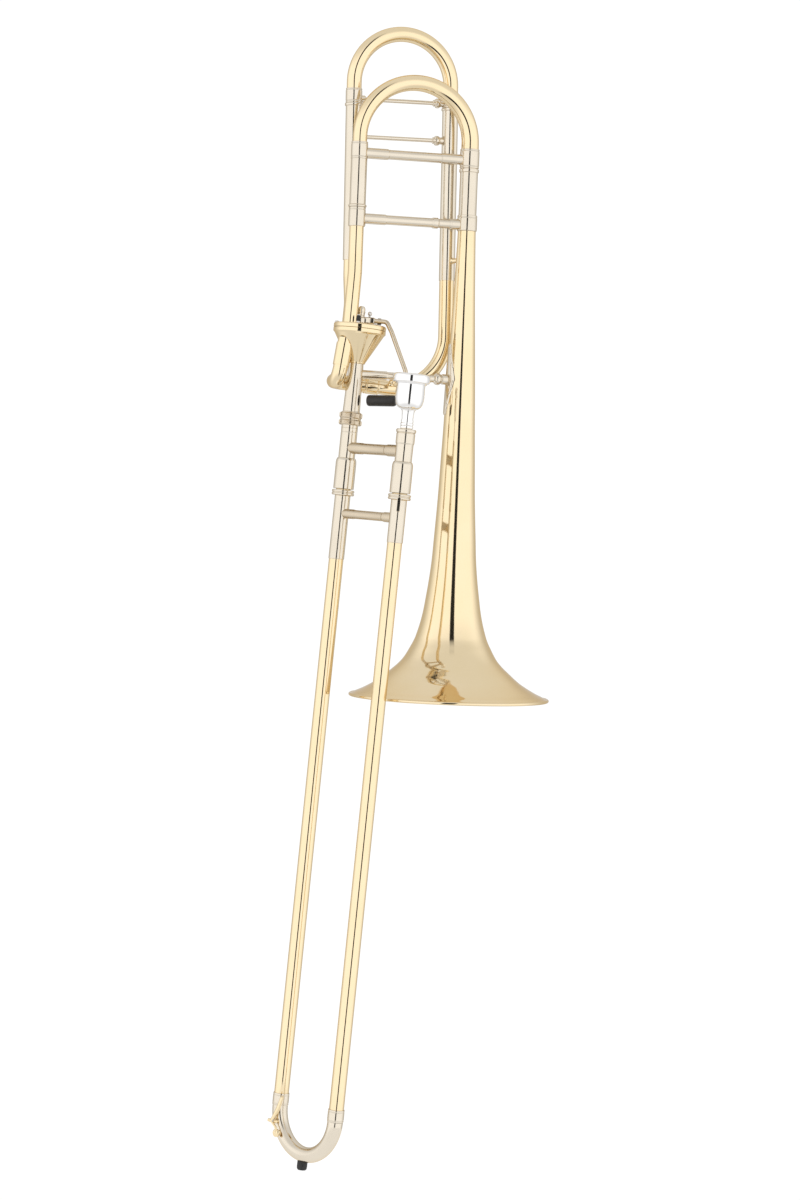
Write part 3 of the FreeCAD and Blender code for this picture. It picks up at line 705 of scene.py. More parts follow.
def coil(name: str, finish: Metal | Soft, turns: float, radius: float, pitch: float, wire: float,
         place: Matrix) -> bpy.types.Object:
    """Coil spring made by geometry nodes and turned into a plain mesh.

    Args:
        name: Name of the result.
        finish: Finish set by the tree.
        turns: Number of turns.
        radius: Coil radius in mm.
        pitch: Height of a turn in mm.
        wire: Wire radius in mm.
        place: Matrix from coil millimetres to slide-frame millimetres.

    Returns:
        A plain mesh object with its place in its mesh.
    """
    sizes = {"Turns": float(turns), "Radius": float(radius), "Height": pitch * turns, "Wire": float(wire)}
    tree, entry, keys = open_tree(name + "_coil", sizes)
    spiral = tree.nodes.new("GeometryNodeCurveSpiral")
    spiral.inputs["Resolution"].default_value = 24
    circle = tree.nodes.new("GeometryNodeCurvePrimitiveCircle")
    circle.inputs["Resolution"].default_value = 10
    skin = tree.nodes.new("GeometryNodeCurveToMesh")
    skin.inputs["Fill Caps"].default_value = True
    for made, target in ((entry.outputs["Turns"], spiral.inputs["Rotations"]),
                         (entry.outputs["Radius"], spiral.inputs["Start Radius"]),
                         (entry.outputs["Radius"], spiral.inputs["End Radius"]),
                         (entry.outputs["Height"], spiral.inputs["Height"]),
                         (entry.outputs["Wire"], circle.inputs["Radius"]),
                         (spiral.outputs[0], skin.inputs["Curve"]), (circle.outputs[0], skin.inputs["Profile Curve"])):
        tree.links.new(made, target)
    return bake(name, tree, skin.outputs[0], finish, sizes, keys, place)


def plain_mesh(holder: bpy.types.Object, name: str) -> bpy.types.Mesh:
    """Evaluate a modifier stack into a plain, outward-facing mesh.

    Args:
        holder: Object with the modifier stack.
        name: Name of the result.

    Returns:
        The plain mesh.
    """
    bpy.context.view_layer.update()
    seen = holder.evaluated_get(bpy.context.evaluated_depsgraph_get())
    plain = bpy.data.meshes.new_from_object(seen)
    plain.name = name
    holder.modifiers.clear()
    work = bmesh.new()
    work.from_mesh(plain)
    bmesh.ops.remove_doubles(work, verts=work.verts, dist=1e-5)
    bmesh.ops.recalc_face_normals(work, faces=work.faces)
    work.to_mesh(plain)
    work.free()
    return plain


def pattern_item(name: str, former: Former) -> bpy.types.Object:
    """Turn a former's shells into an unlinked item for copying, in mm.

    Args:
        name: Name of the result.
        former: Former holding the shells.

    Returns:
        The unlinked object.
    """
    data = bpy.data.meshes.new(name)
    bmesh.ops.recalc_face_normals(former.mesh, faces=former.mesh.faces)
    former.mesh.to_mesh(data)
    former.mesh.free()
    return bpy.data.objects.new(name, data)


def join_into(piece: bpy.types.Object, other: bpy.types.Object) -> None:
    """Merge another object's mesh into a piece and drop the other object.

    Args:
        piece: Piece that receives the mesh.
        other: Object merged and removed.
    """
    work = bmesh.new()
    work.from_mesh(piece.data)
    work.from_mesh(other.data)
    work.to_mesh(piece.data)
    work.free()
    piece.data.shade_smooth()
    piece.data.set_sharp_from_angle(angle=math.radians(32.0))
    bpy.data.objects.remove(other)


# ---------------------------------------------------------------- bell section


@dataclass(frozen=True)
class BellSection:
    """Bell, rim, grip flange, fixed legs, neckpipe and the braces between them."""

    outline: tuple[Point, ...] = (
        (107.0, 0.6), (104.0, 1.9), (100.0, 3.9), (94.0, 6.6), (88.0, 9.8), (82.0, 13.3), (76.0, 17.2),
        (70.0, 22.0), (65.5, 26.0), (61.0, 30.0), (56.6, 34.0), (51.2, 40.0), (47.0, 46.5), (43.5, 53.0),
        (40.2, 59.5), (37.7, 65.9), (33.9, 78.9), (31.1, 91.8), (29.1, 104.7), (26.1, 126.3), (23.9, 147.8),
        (22.6, 169.3), (20.1, 212.3), (18.4, 255.3), (17.1, 287.5), (16.0, 319.6), (13.9, 373.0), (11.7, 427.5),
        (10.1, 480.0), (9.6, 500.0))
    wall: float = 0.55
    rim_radius: float = 106.15
    rim_wire: float = 1.8
    neck_x: float = -121.5
    leg_radius: float = 9.6
    neck_leg_radius: float = 7.75
    port_radius: float = 14.0
    port_azimuth: float = 205.0
    plate_top: float = 896.5
    neck_radius: float = 7.6
    flange_middle: float = 341.0
    flange_thickness: float = 1.5

    def radius(self, z: float) -> float:
        """Outer radius of the bell at a height above its rim.

        Args:
            z: Height in mm.

        Returns:
            The radius in mm.
        """
        for (r0, z0), (r1, z1) in zip(self.outline, self.outline[1:]):
            if z0 <= z <= z1:
                return r0 + (r1 - r0) * (z - z0) / (z1 - z0)
        return self.outline[-1][0]

    def flare(self) -> bpy.types.Object:
        """Spin the bell with its real wall thickness.

        Returns:
            The piece.
        """
        outer = smooth_curve(self.outline, 6)
        inner: list[Point] = []
        for index, (r, z) in enumerate(outer):
            before = Vector(outer[max(index - 1, 0)])
            after = Vector(outer[min(index + 1, len(outer) - 1)])
            way = (after - before).normalized()
            inner.append((r - way.y * self.wall, z + way.x * self.wall))
        form = Former(BELL).turn(outer + inner[::-1], steps=192)
        return form.emit("bell_flare_spun", BRASS, Body.BELL, ["bell_flare"])

    def rim(self) -> bpy.types.Object:
        """Roll the rim over its wire.

        Returns:
            The piece.
        """
        ring = [(self.rim_radius + self.rim_wire * math.cos(math.tau * k / 20),
                 self.rim_wire * math.sin(math.tau * k / 20)) for k in range(20)]
        return Former(BELL).turn(ring, steps=192).emit("bell_rim_roll", BRASS, Body.BELL, ["bell_rim_wire"])

    def grip_flange(self) -> bpy.types.Object:
        """Cut the pointed strengthening plate that wraps the stem where the grip brace lands.

        Returns:
            The piece.
        """
        corners = ((0.0, 11.6), (16.0, 8.5), (38.0, 3.2))
        rows: list[list[Vector]] = []
        columns = 14
        for step in range(-38, 39, 2):
            level = abs(step)
            half = next(w0 + (w1 - w0) * (level - z0) / (z1 - z0)
                        for (z0, w0), (z1, w1) in zip(corners, corners[1:]) if level <= z1)
            z = self.flange_middle + step
            base = self.radius(z)
            row: list[Vector] = []
            for layer, order in ((self.flange_thickness, range(columns + 1)), (-0.15, range(columns, -1, -1))):
                for column in order:
                    across = 2 * column / columns - 1
                    fade = min(1.0, (1 - abs(across)) * half / 0.9, (39.5 - level) / 2.5)
                    lift = layer * fade if layer > 0 else layer
                    angle = math.pi + math.asin(across * half / base)
                    row.append(Vector(((base + lift) * math.cos(angle), (base + lift) * math.sin(angle), z)))
            rows.append(row)
        return Former(BELL).grid(rows).emit("grip_flange_plate", NICKEL, Body.BELL, ["grip_flange"], 50.0)

    def legs(self) -> list[bpy.types.Object]:
        """Turn the fixed legs of the main loop and their ferrules.

        Returns:
            The pieces.
        """
        neck = Vector((self.neck_x, 0, 0))
        outer = Former(BELL).turn(soften([
            (9.1, 500.2), (self.leg_radius, 500.2), (self.leg_radius, 562.6), (10.6, 562.9), (10.6, 566.0),
            (9.1, 566.0)], 0.4))
        inner = Former(BELL).sleeve(7.0, self.neck_leg_radius, 498, 567, neck)
        ferrules = Former(BELL).turn(soften([
            (9.6, 500.2), (10.4, 500.2), (10.7, 501.2), (10.7, 513.6), (10.3, 514.4), (10.7, 515.2),
            (10.5, 517.0), (9.6, 517.0)], 0.4))
        ferrules.turn(soften([
            (7.75, 498.0), (8.8, 498.0), (9.1, 499.0), (9.1, 515.2), (8.7, 516.0), (9.1, 516.8), (8.9, 518.4),
            (7.75, 518.4)], 0.4), neck)
        return [outer.emit("main_outer_leg_tube", NICKEL, Body.BELL, ["main_outer_leg"]),
                inner.emit("neck_inner_leg_tube", NICKEL, Body.BELL, ["neck_inner_leg"]),
                ferrules.emit("leg_ferrules_turned", NICKEL, Body.BELL, ["leg_ferrules"])]

    def neckpipe(self) -> bpy.types.Object:
        """Bend the neckpipe from the valve up to the tuning slide leg.

        Returns:
            The piece.
        """
        path = route([polar(self.port_radius, self.port_azimuth, self.plate_top), BELL.at(self.neck_x, 449),
                      BELL.at(self.neck_x, 498)], [60.0], 20)
        form = Former().pipe(path, lambda share: self.neck_radius, 0.7, 56)
        return form.emit("neckpipe_bent", BRASS, Body.BELL, ["neckpipe"])

    def braces(self) -> list[bpy.types.Object]:
        """Turn the lower main brace, the slim upper brace and the small joining struts.

        Returns:
            The pieces.
        """
        brace = Former(BELL).strut(Vector((self.neck_x, 0, 506.8)), Vector((0, 0, 506.8)), [
            (5.6, 0), (5.6, 31), (5.0, 32), (5.0, -39), (5.8, -38), (5.8, -33), (4.8, -32), (4.8, -20),
            (5.8, -18), (5.8, -0.01)], (9.1, 10.7))
        slim = Former(F_LOOP)
        slim_brace(slim, -58.0, 8.55)
        struts = Former()
        joins = ((BELL.at(self.neck_x, 472), F_LOOP.at(-53.5, -183), self.neck_radius),
                 (BELL.at(0, 470), F_LOOP.at(53.5, -187), 10.4))
        for low, high, tube in joins:
            struts.strut(low, high, [(3.5, 0), (3.5, tube + 0.6), (2.5, tube + 1.6), (2.5, -10.4), (3.5, -9.4),
                                     (3.5, -0.01)], (tube, 8.55))
        grip_axis = Vector((44, -1.0, 846.8))
        struts.strut(grip_axis, Vector((44, F_LOOP.origin[1], 835.2)), [
            (3.4, 0), (3.4, 5.0), (2.2, 6.2), (2.2, 9.4), (3.6, 10.6), (3.6, 12.4), (2.2, 13.6), (2.4, -10.0),
            (3.4, -9.2), (3.4, -0.01)], (3.6, 8.0))
        return [brace.emit("fixed_brace_turned", NICKEL, Body.BELL, ["fixed_braces"]),
                slim.emit("fixed_slim_brace", NICKEL, Body.BELL, []),
                struts.emit("f_struts_turned", BRASS, Body.BELL, ["f_struts"])]

    def build(self) -> list[bpy.types.Object]:
        """Make every piece of the bell section."""
        return [self.flare(), self.rim(), self.grip_flange(), *self.legs(), self.neckpipe(), *self.braces()]


def slim_brace(form: Former, z: float, tube: float, half: float = 53.5) -> None:
    """Turn a slim F-attachment brace with a foot at each leg and a ball near the right one.

    Args:
        form: Former that receives the brace.
        z: Height in mm.
        tube: Outer radius of the tubes in mm.
        half: Half the distance between the tubes in mm.
    """
    form.strut(Vector((-half, 0, z)), Vector((half, 0, z)), [
        (4.0, 0), (4.0, 12), (2.2, 13.5), (2.2, -20), (3.6, -19), (3.6, -17.4), (5.0, -16.4), (5.3, -14.6),
        (5.0, -12.8), (3.7, -11.4), (3.8, -10.8), (3.8, -0.01)], (tube, tube), 0.8)


@dataclass(frozen=True)
class MainTuningSlide:
    """Main tuning bow with its ferrules, brace, male leg and reversed leg."""

    span: float = 121.5
    bow_z: float = 593.2
    top_z: float = 587.5
    wide: float = 9.4
    narrow: float = 7.6

    def bow(self) -> bpy.types.Object:
        """Bend the tapering bow.

        Returns:
            The piece.
        """
        half = self.span / 2
        path = [Vector((0, 0, self.top_z))] + arc_path(Vector((-half, 0, self.bow_z)), half, 0, 180, 56)
        path.append(Vector((-self.span, 0, self.top_z)))
        form = Former(BELL).pipe(path, lambda share: self.wide + (self.narrow - self.wide) * share, 0.5, 64)
        return form.emit("main_bow_bent", BRASS, Body.MAIN_TUNING, ["main_tuning_bow"])

    def legs(self) -> list[bpy.types.Object]:
        """Turn the ferrules, the reversed leg and the male leg.

        Returns:
            The pieces.
        """
        neck = Vector((-self.span, 0, 0))
        ferrules = Former(BELL)
        for at, bore, outer, low in ((neck, 7.6, 9.0, 569.5), (Vector(), 9.05, 10.4, 567.0)):
            ferrules.turn(soften([
                (bore, low), (outer - 0.2, low), (outer, low + 1.4), (outer - 0.5, low + 2.1), (outer, low + 2.8),
                (outer, self.top_z - 2.6), (outer - 0.5, self.top_z - 1.9), (outer, self.top_z - 1.2),
                (outer - 0.2, self.top_z), (bore, self.top_z)], 0.4), at)
        reversed_leg = Former(BELL).turn(soften([
            (7.8, 518.4), (9.4, 518.4), (9.8, 519.2), (9.8, 520.4), (8.9, 521.0), (8.7, 521.4), (8.7, 569.5),
            (7.8, 569.5)], 0.35), neck)
        male = Former(BELL).sleeve(8.5, 9.05, 504, self.top_z)
        return [ferrules.emit("main_bow_ferrules_turned", NICKEL, Body.MAIN_TUNING, ["main_bow_ferrules"]),
                reversed_leg.emit("main_reversed_leg_tube", NICKEL, Body.MAIN_TUNING, ["main_reversed_leg"]),
                male.emit("main_inner_leg_tube", NICKEL, Body.MAIN_TUNING, ["main_inner_leg"])]

    def brace(self) -> bpy.types.Object:
        """Turn the brace across the bow.

        Returns:
            The piece.
        """
        form = Former(BELL).strut(Vector((-self.span, 0, 576)), Vector((0, 0, 576)), [
            (5.8, 0), (5.8, 31), (5.1, 32), (5.1, -32), (5.5, -31), (5.5, -0.01)], (9.0, 10.4))
        return form.emit("main_bow_brace_turned", NICKEL, Body.MAIN_TUNING, ["main_bow_brace"])

    def build(self) -> list[bpy.types.Object]:
        """Make every piece of the main tuning slide."""
        return [self.bow(), *self.legs(), self.brace()]


@dataclass(frozen=True)
class FAttachment:
    """Open-wrap F attachment: feed pipe, legs, tuning slide and return pipes."""

    half: float = 53.5
    left_low: float = -189.7
    right_low: float = -207.8
    return_z: float = 834.6
    feed_azimuth: float = 135.0
    port_radius: float = 14.0

    def sides(self) -> tuple[tuple[Vector, float], ...]:
        """Leg axes with the height where each leg starts."""
        return ((Vector((-self.half, 0, 0)), self.left_low), (Vector((self.half, 0, 0)), self.right_low))

    def tuning_slide(self) -> list[bpy.types.Object]:
        """Make the pulled bow with its ferrules, brace and male legs.

        Returns:
            The pieces.
        """
        path = [Vector((self.half, 0, -7.0))] + arc_path(Vector(), self.half, 0, 180, 52)
        path.append(Vector((-self.half, 0, -7.0)))
        bow = Former(F_LOOP).pipe(path, lambda share: 8.0, 0.5, 64)
        ferrules = Former(F_LOOP)
        legs = Former(F_LOOP)
        for at, low in self.sides():
            ferrules.turn(soften([
                (7.65, -22.5), (8.7, -22.5), (8.9, -21.2), (8.4, -20.5), (8.9, -19.8), (8.9, -9.4), (8.4, -8.7),
                (8.9, -8.0), (8.7, -7.0), (7.65, -7.0)], 0.4), at)
            legs.sleeve(7.1, 7.65, low + 15, -7.0, at)
        brace = Former(F_LOOP)
        slim_brace(brace, -18.0, 8.9)
        return [bow.emit("f_bow_bent", BRASS, Body.F_TUNING, ["f_tuning_bow"]),
                ferrules.emit("f_bow_ferrules_turned", NICKEL, Body.F_TUNING, ["f_bow_ferrules"]),
                legs.emit("f_inner_legs_tubes", NICKEL, Body.F_TUNING, ["f_inner_legs"]),
                brace.emit("f_bow_brace_turned", NICKEL, Body.F_TUNING, ["f_bow_brace"])]

    def fixed_legs(self) -> bpy.types.Object:
        """Turn the fixed outer legs with their collars.

        Returns:
            The piece.
        """
        form = Former(F_LOOP)
        for at, low in self.sides():
            form.turn(soften([
                (7.7, low), (8.55, low), (8.55, -25.8), (9.4, -25.5), (9.6, -24.8), (9.6, -23.4), (9.3, -22.7),
                (7.7, -22.7)], 0.35), at)
        return form.emit("f_outer_legs_tubes", NICKEL, Body.BELL, ["f_outer_legs"])

    def feed(self) -> bpy.types.Object:
        """Bend the feed pipe from the valve up to the left leg.

        Returns:
            The piece.
        """
        port = polar(self.port_radius, self.feed_azimuth, 896.5)
        top = F_LOOP.at(-self.half, self.left_low)
        leg_way = (top - F_LOOP.at(-self.half, 0)).normalized()
        path = route([port, port + UP * 22, top + leg_way * 18, top], [24.0, 24.0], 16)
        form = Former().pipe(path, lambda share: 7.6, 0.7, 56)
        return form.emit("f_feed_bent", BRASS, Body.BELL, ["f_feed_pipe"])

    def returns(self) -> list[bpy.types.Object]:
        """Bend the return bow and the elbow that enters the side of the valve.

        Returns:
            The pieces.
        """
        low = F_LOOP.at(self.half, self.right_low)
        drop = (F_LOOP.at(self.half, -300) - F_LOOP.at(self.half, 0)).normalized()
        depth = F_LOOP.origin[1]
        corner = low + drop * ((low.z - self.return_z) / -drop.z)
        joint = Vector((24.0, depth, self.return_z))
        bow = Former().pipe(route([low, corner, joint], [58.0], 28), lambda share: 8.0, 0.6, 56)
        side = polar(17.5, 205.0, 880)
        foot = polar(22.0, 205.0, self.return_z)
        bend = Vector((foot.x, depth, self.return_z))
        elbow = Former().pipe(route([joint, bend, foot, side], [14.0, 14.0], 16), lambda share: 8.0, 0.7, 56,
                              casing_distance)
        way = (side - foot).normalized()
        stub = foot + way * 16
        ferrules = Former().turn(soften([
            (8.0, 0), (8.7, 0), (8.9, 1.2), (8.4, 1.9), (8.9, 2.6), (8.9, 13.4), (8.4, 14.1), (8.9, 14.8),
            (8.7, 16), (8.0, 16)], 0.4), joint + Vector((-8, 0, 0)), Vector((1, 0, 0)))
        ferrules.pipe([stub, stub + way * 1.0, stub + way * 24], lambda share: 8.8, 0.8, 56, casing_distance)
        return [bow.emit("f_return_bow_bent", BRASS, Body.BELL, ["f_return_bow"]),
                elbow.emit("f_return_elbow_bent", BRASS, Body.BELL, ["f_return_elbow"]),
                ferrules.emit("f_return_ferrules_turned", BRASS, Body.BELL, ["f_return_ferrules"])]

    def build(self) -> list[bpy.types.Object]:
        """Make every piece of the F attachment."""
        return [*self.tuning_slide(), self.fixed_legs(), self.feed(), *self.returns()]


def casing_distance(spot: Vector) -> float:
    """Radial distance outside the valve's conical casing, just under its skin."""
    height = min(max(spot.z, 855.0), 886.0)
    return math.hypot(spot.x, spot.y) - (9.2 + (height - 855.0) * 16.9 / 31.0)


# ---------------------------------------------------------------- valve and lever


@dataclass(frozen=True)
class Valve:
    """Conical valve with its backplate, screws, stops, spindle, lever and grip."""

    low_z: float = 855.0
    wide_z: float = 888.0
    radius: float = 28.0
    plate: Point = (891.5, 896.5)
    lever_azimuth: float = -27.0
    lever_z: float = 901.8
    turn: float = 70.0
    grip_radius: float = 6.0

    def casing(self) -> list[bpy.types.Object]:
        """Turn the casing cone and its backplate.

        Returns:
            The pieces.
        """
        cone = Former().turn(soften([
            (7.9, self.low_z), (9.4, self.low_z), (9.6, 856.4), (26.3, 886.0), (27.4, 887.0), (self.radius, 887.8),
            (self.radius, self.plate[0]), (26.0, self.plate[0]), (25.0, self.wide_z), (8.1, 858.0)], 0.6), steps=112)
        plate = Former().turn(soften([
            (4.0, self.plate[0]), (self.radius, self.plate[0] + 0.25), (self.radius, self.plate[1] - 1.0),
            (self.radius - 1.0, self.plate[1]), (10.5, self.plate[1]), (9.6, self.plate[1] + 0.35),
            (6.6, self.plate[1] + 0.35), (6.4, self.plate[1]), (4.0, self.plate[1])], 0.5), steps=112)
        return [cone.emit("valve_casing_turned", BRASS, Body.BELL, ["valve_casing"]),
                plate.emit("valve_backplate_turned", BRASS, Body.BELL, ["valve_backplate"])]

    def screws(self) -> list[bpy.types.Object]:
        """Set the backplate screws and the two stop posts with their rubber bumpers.

        Returns:
            The pieces.
        """
        head = Former().turn(soften([(0, -2.0), (1.2, -2.0), (1.2, 0.0), (2.4, 0.0), (2.3, 0.9), (1.6, 1.5),
                                     (0, 1.6)], 0.3), steps=20)
        item = pattern_item("plate_screw", head)
        piece = ring_of_copies("plate_screws_set", item, STEEL, 3, 25.2, 1, 0.0,
                               Vector((0, 0, self.plate[1])), 55.0)
        posts = Former()
        bumpers = Former()
        for azimuth in (self.lever_azimuth + 13.9, self.lever_azimuth - self.turn - 13.9):
            at = polar(20.0, azimuth)
            posts.turn(soften([(0, self.plate[1] - 0.2), (2.0, self.plate[1] - 0.2), (2.0, 898.6), (1.2, 898.8),
                               (1.2, 904.6), (1.7, 904.7), (1.6, 905.6), (0, 905.9)], 0.25), at, steps=28)
            bumpers.turn(soften([(1.2, 898.8), (2.3, 898.8), (2.3, 904.4), (1.2, 904.4)], 0.5), at, steps=32)
        post_piece = posts.emit("stop_posts", STEEL, Body.BELL, [])
        return [settle(piece, STEEL, Body.BELL, ["plate_screws_and_stops"]), post_piece,
                bumpers.emit("stop_bumpers_moulded", RUBBER, Body.BELL, ["stop_bumpers"])]

    def lever(self) -> list[bpy.types.Object]:
        """Make the hub, spindle cap, lever rod and thumb grip.

        Returns:
            The pieces.
        """
        hub = Former().turn(soften([(0, 898.2), (6.1, 898.2), (6.1, 903.4), (4.2, 904.8), (0, 904.8)], 0.5))
        out = polar(1.0, self.lever_azimuth)
        aside = polar(1.0, self.lever_azimuth + 90.0)
        rows = []
        for reach, half, low, high in ((4.0, 3.5, 898.5, 905.0), (14.6, 3.5, 898.5, 905.0), (15.6, 2.9, 899.1, 904.4)):
            corners = [(-half, low + 0.8), (-half + 0.8, low), (half - 0.8, low), (half, low + 0.8),
                       (half, high - 0.8), (half - 0.8, high), (-half + 0.8, high), (-half, high - 0.8)]
            rows.append([out * reach + aside * y + UP * z for y, z in corners])
        hub.grid(rows)
        cap = Former().turn(soften([
            (0, 904.6), (3.9, 904.6), (3.9, 905.8), (3.6, 906.3), (3.9, 906.8), (3.9, 913.2), (3.3, 915.1),
            (2.0, 916.2), (0, 916.5)], 0.6), steps=40)
        cap.turn(soften([(3.8, 909.0), (4.25, 909.2), (4.25, 910.6), (3.8, 910.8)], 0.3), steps=40)
        screw = Former().turn(soften([
            (0, 904.6), (1.2, 904.6), (1.2, 907.0), (2.1, 907.4), (2.3, 908.6), (2.2, 910.0), (1.2, 911.0),
            (0, 911.2)], 0.3), polar(9.4, self.lever_azimuth), steps=28)
        stops = [(11.0, self.lever_z), (28.6, self.lever_z), (35.0, 891.5), (54.6, 851.0), (54.6, 819.8),
                 (41.0, 818.8)]
        points = [polar(r, self.lever_azimuth, z) for r, z in stops]
        rod = Former().pipe(route(points, [5.0, 8.0, 9.0, 6.5], 12), lambda share: 2.4, 0.0, 32)
        tip = polar(15.6, self.lever_azimuth, 816.9)
        end = polar(47.8, self.lever_azimuth, 819.3)
        rod.turn(soften([(0, 0), (3.0, 0), (3.4, 0.8), (3.0, 2.6), (2.4, 3.2), (0, 3.2)], 0.4), end, end - tip, 32)
        length = (end - tip).length
        r = self.grip_radius
        grip = Former().turn(soften([
            (0, 0), (3.4, 0), (5.0, 0.7), (5.8, 1.8), (r, 3.2), (r, length - 3.6), (5.7, length - 1.8),
            (4.9, length - 0.7), (3.4, length), (0, length)], 0.8), tip, end - tip, 56)
        return [hub.emit("lever_hub_milled", NICKEL, Body.VALVE, ["lever_hub"]),
                cap.emit("spindle_cap_turned", NICKEL, Body.VALVE, ["spindle_cap"]),
                screw.emit("lever_set_screw_turned", STEEL, Body.VALVE, ["lever_set_screw"]),
                rod.emit("lever_rod_bent", SATIN, Body.VALVE, ["lever_rod"]),
                grip.emit("thumb_grip_moulded", GRIP, Body.VALVE, ["thumb_grip"])]

    def spring(self) -> bpy.types.Object:
        """Coil the return spring under the hub."""
        piece = coil("return_spring_coiled", STEEL, 1.9, 5.3, 0.5, 0.28, Matrix.Translation((0, 0, 896.95)))
        return settle(piece, STEEL, Body.BELL, ["return_spring"])

    def build(self) -> list[bpy.types.Object]:
        """Make every piece of the valve and dress its rotor.

        Returns:
            The pieces.
        """
        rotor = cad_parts["valve_rotor"]
        rotor.data.materials.clear()
        rotor.data.materials.append(MATERIALS[NICKEL.name])
        return [*self.casing(), *self.screws(), *self.lever(), self.spring()]


@dataclass(frozen=True)
class BellLock:
    """Receiver, slide tenon, knurled lock nut and the hand-grip brace."""

    nut: Point = (789.0, 802.5)
    nut_radius: float = 12.1
    nut_bore: float = 10.5
    knurls: int = 64

    def receiver(self) -> list[bpy.types.Object]:
        """Turn the receiver and the tenon that it holds.

        Returns:
            The pieces.
        """
        receiver = Former().turn(soften([
            (8.77, 792.9), (9.9, 792.9), (9.9, 803.2), (9.2, 803.6), (9.2, 806.0), (9.0, 812.0), (8.55, 835.0),
            (7.95, 854.0), (7.9, 855.4), (6.95, 855.4), (6.95, 826.0), (7.27, 825.0)], 0.4))
        tenon = Former().turn(soften([
            (6.95, 786.0), (8.9, 786.0), (8.9, 789.2), (10.3, 789.2), (10.3, 792.6), (8.65, 792.6), (7.15, 824.6),
            (6.95, 824.6)], 0.3))
        return [receiver.emit("bell_receiver_turned", NICKEL, Body.BELL, ["bell_receiver"]),
                tenon.emit("slide_tenon_turned", NICKEL, Body.INNER, ["slide_tenon"])]

    def lock_nut(self) -> bpy.types.Object:
        """Turn the nut and cut its knurled bands as rings of small ribs.

        Returns:
            The piece.
        """
        low, high = self.nut
        nut = Former().turn(soften([
            (self.nut_bore, low), (11.1, low), (12.0, low + 0.9), (12.0, low + 4.7), (11.0, low + 5.8),
            (11.0, low + 7.2), (12.0, low + 8.3), (12.0, high - 1.0), (11.1, high), (self.nut_bore, high)],
            0.35), steps=96)
        piece = nut.emit("lock_nut_turned", SATIN, Body.NUT, ["lock_nut"])
        rib = Former()
        rib.grid([[Vector((x, y, z)) for x, y in ((-0.3, -0.42), (0.3, 0.0), (-0.3, 0.42))]
                  for z in (-1.9, 1.9)])
        item = pattern_item("nut_rib", rib)
        knurl = ring_of_copies("nut_knurl", item, SATIN, self.knurls, 12.02, 2, 7.9, Vector((0, 0, low + 2.9)))
        join_into(piece, knurl)
        return piece

    def grip_brace(self, bell: BellSection) -> bpy.types.Object:
        """Turn the brace held by the left hand, from receiver to bell stem.

        Args:
            bell: Bell section that the brace lands on.

        Returns:
            The piece.
        """
        stem = BELL.at(0, 341)
        foot = Vector((0, 0, 844.2))
        head = Vector((stem.x, stem.y, 850.0))
        form = Former().strut(foot, head, [
            (4.6, 0), (4.6, 34), (4.0, 35), (4.0, -30.2), (5.4, -29.2), (6.3, -27.6), (6.6, -25.6), (6.0, -23.8),
            (4.8, -22.4), (4.8, -21.8), (5.6, -21.0), (5.6, -0.01)], (8.1, bell.radius(341) + 1.4), 0.7)
        return form.emit("grip_brace_turned", NICKEL, Body.BELL, ["grip_brace"])

    def build(self, bell: BellSection) -> list[bpy.types.Object]:
        """Make every piece of the bell lock."""
        return [*self.receiver(), self.lock_nut(), self.grip_brace(bell)]


# ---------------------------------------------------------------- hand slide


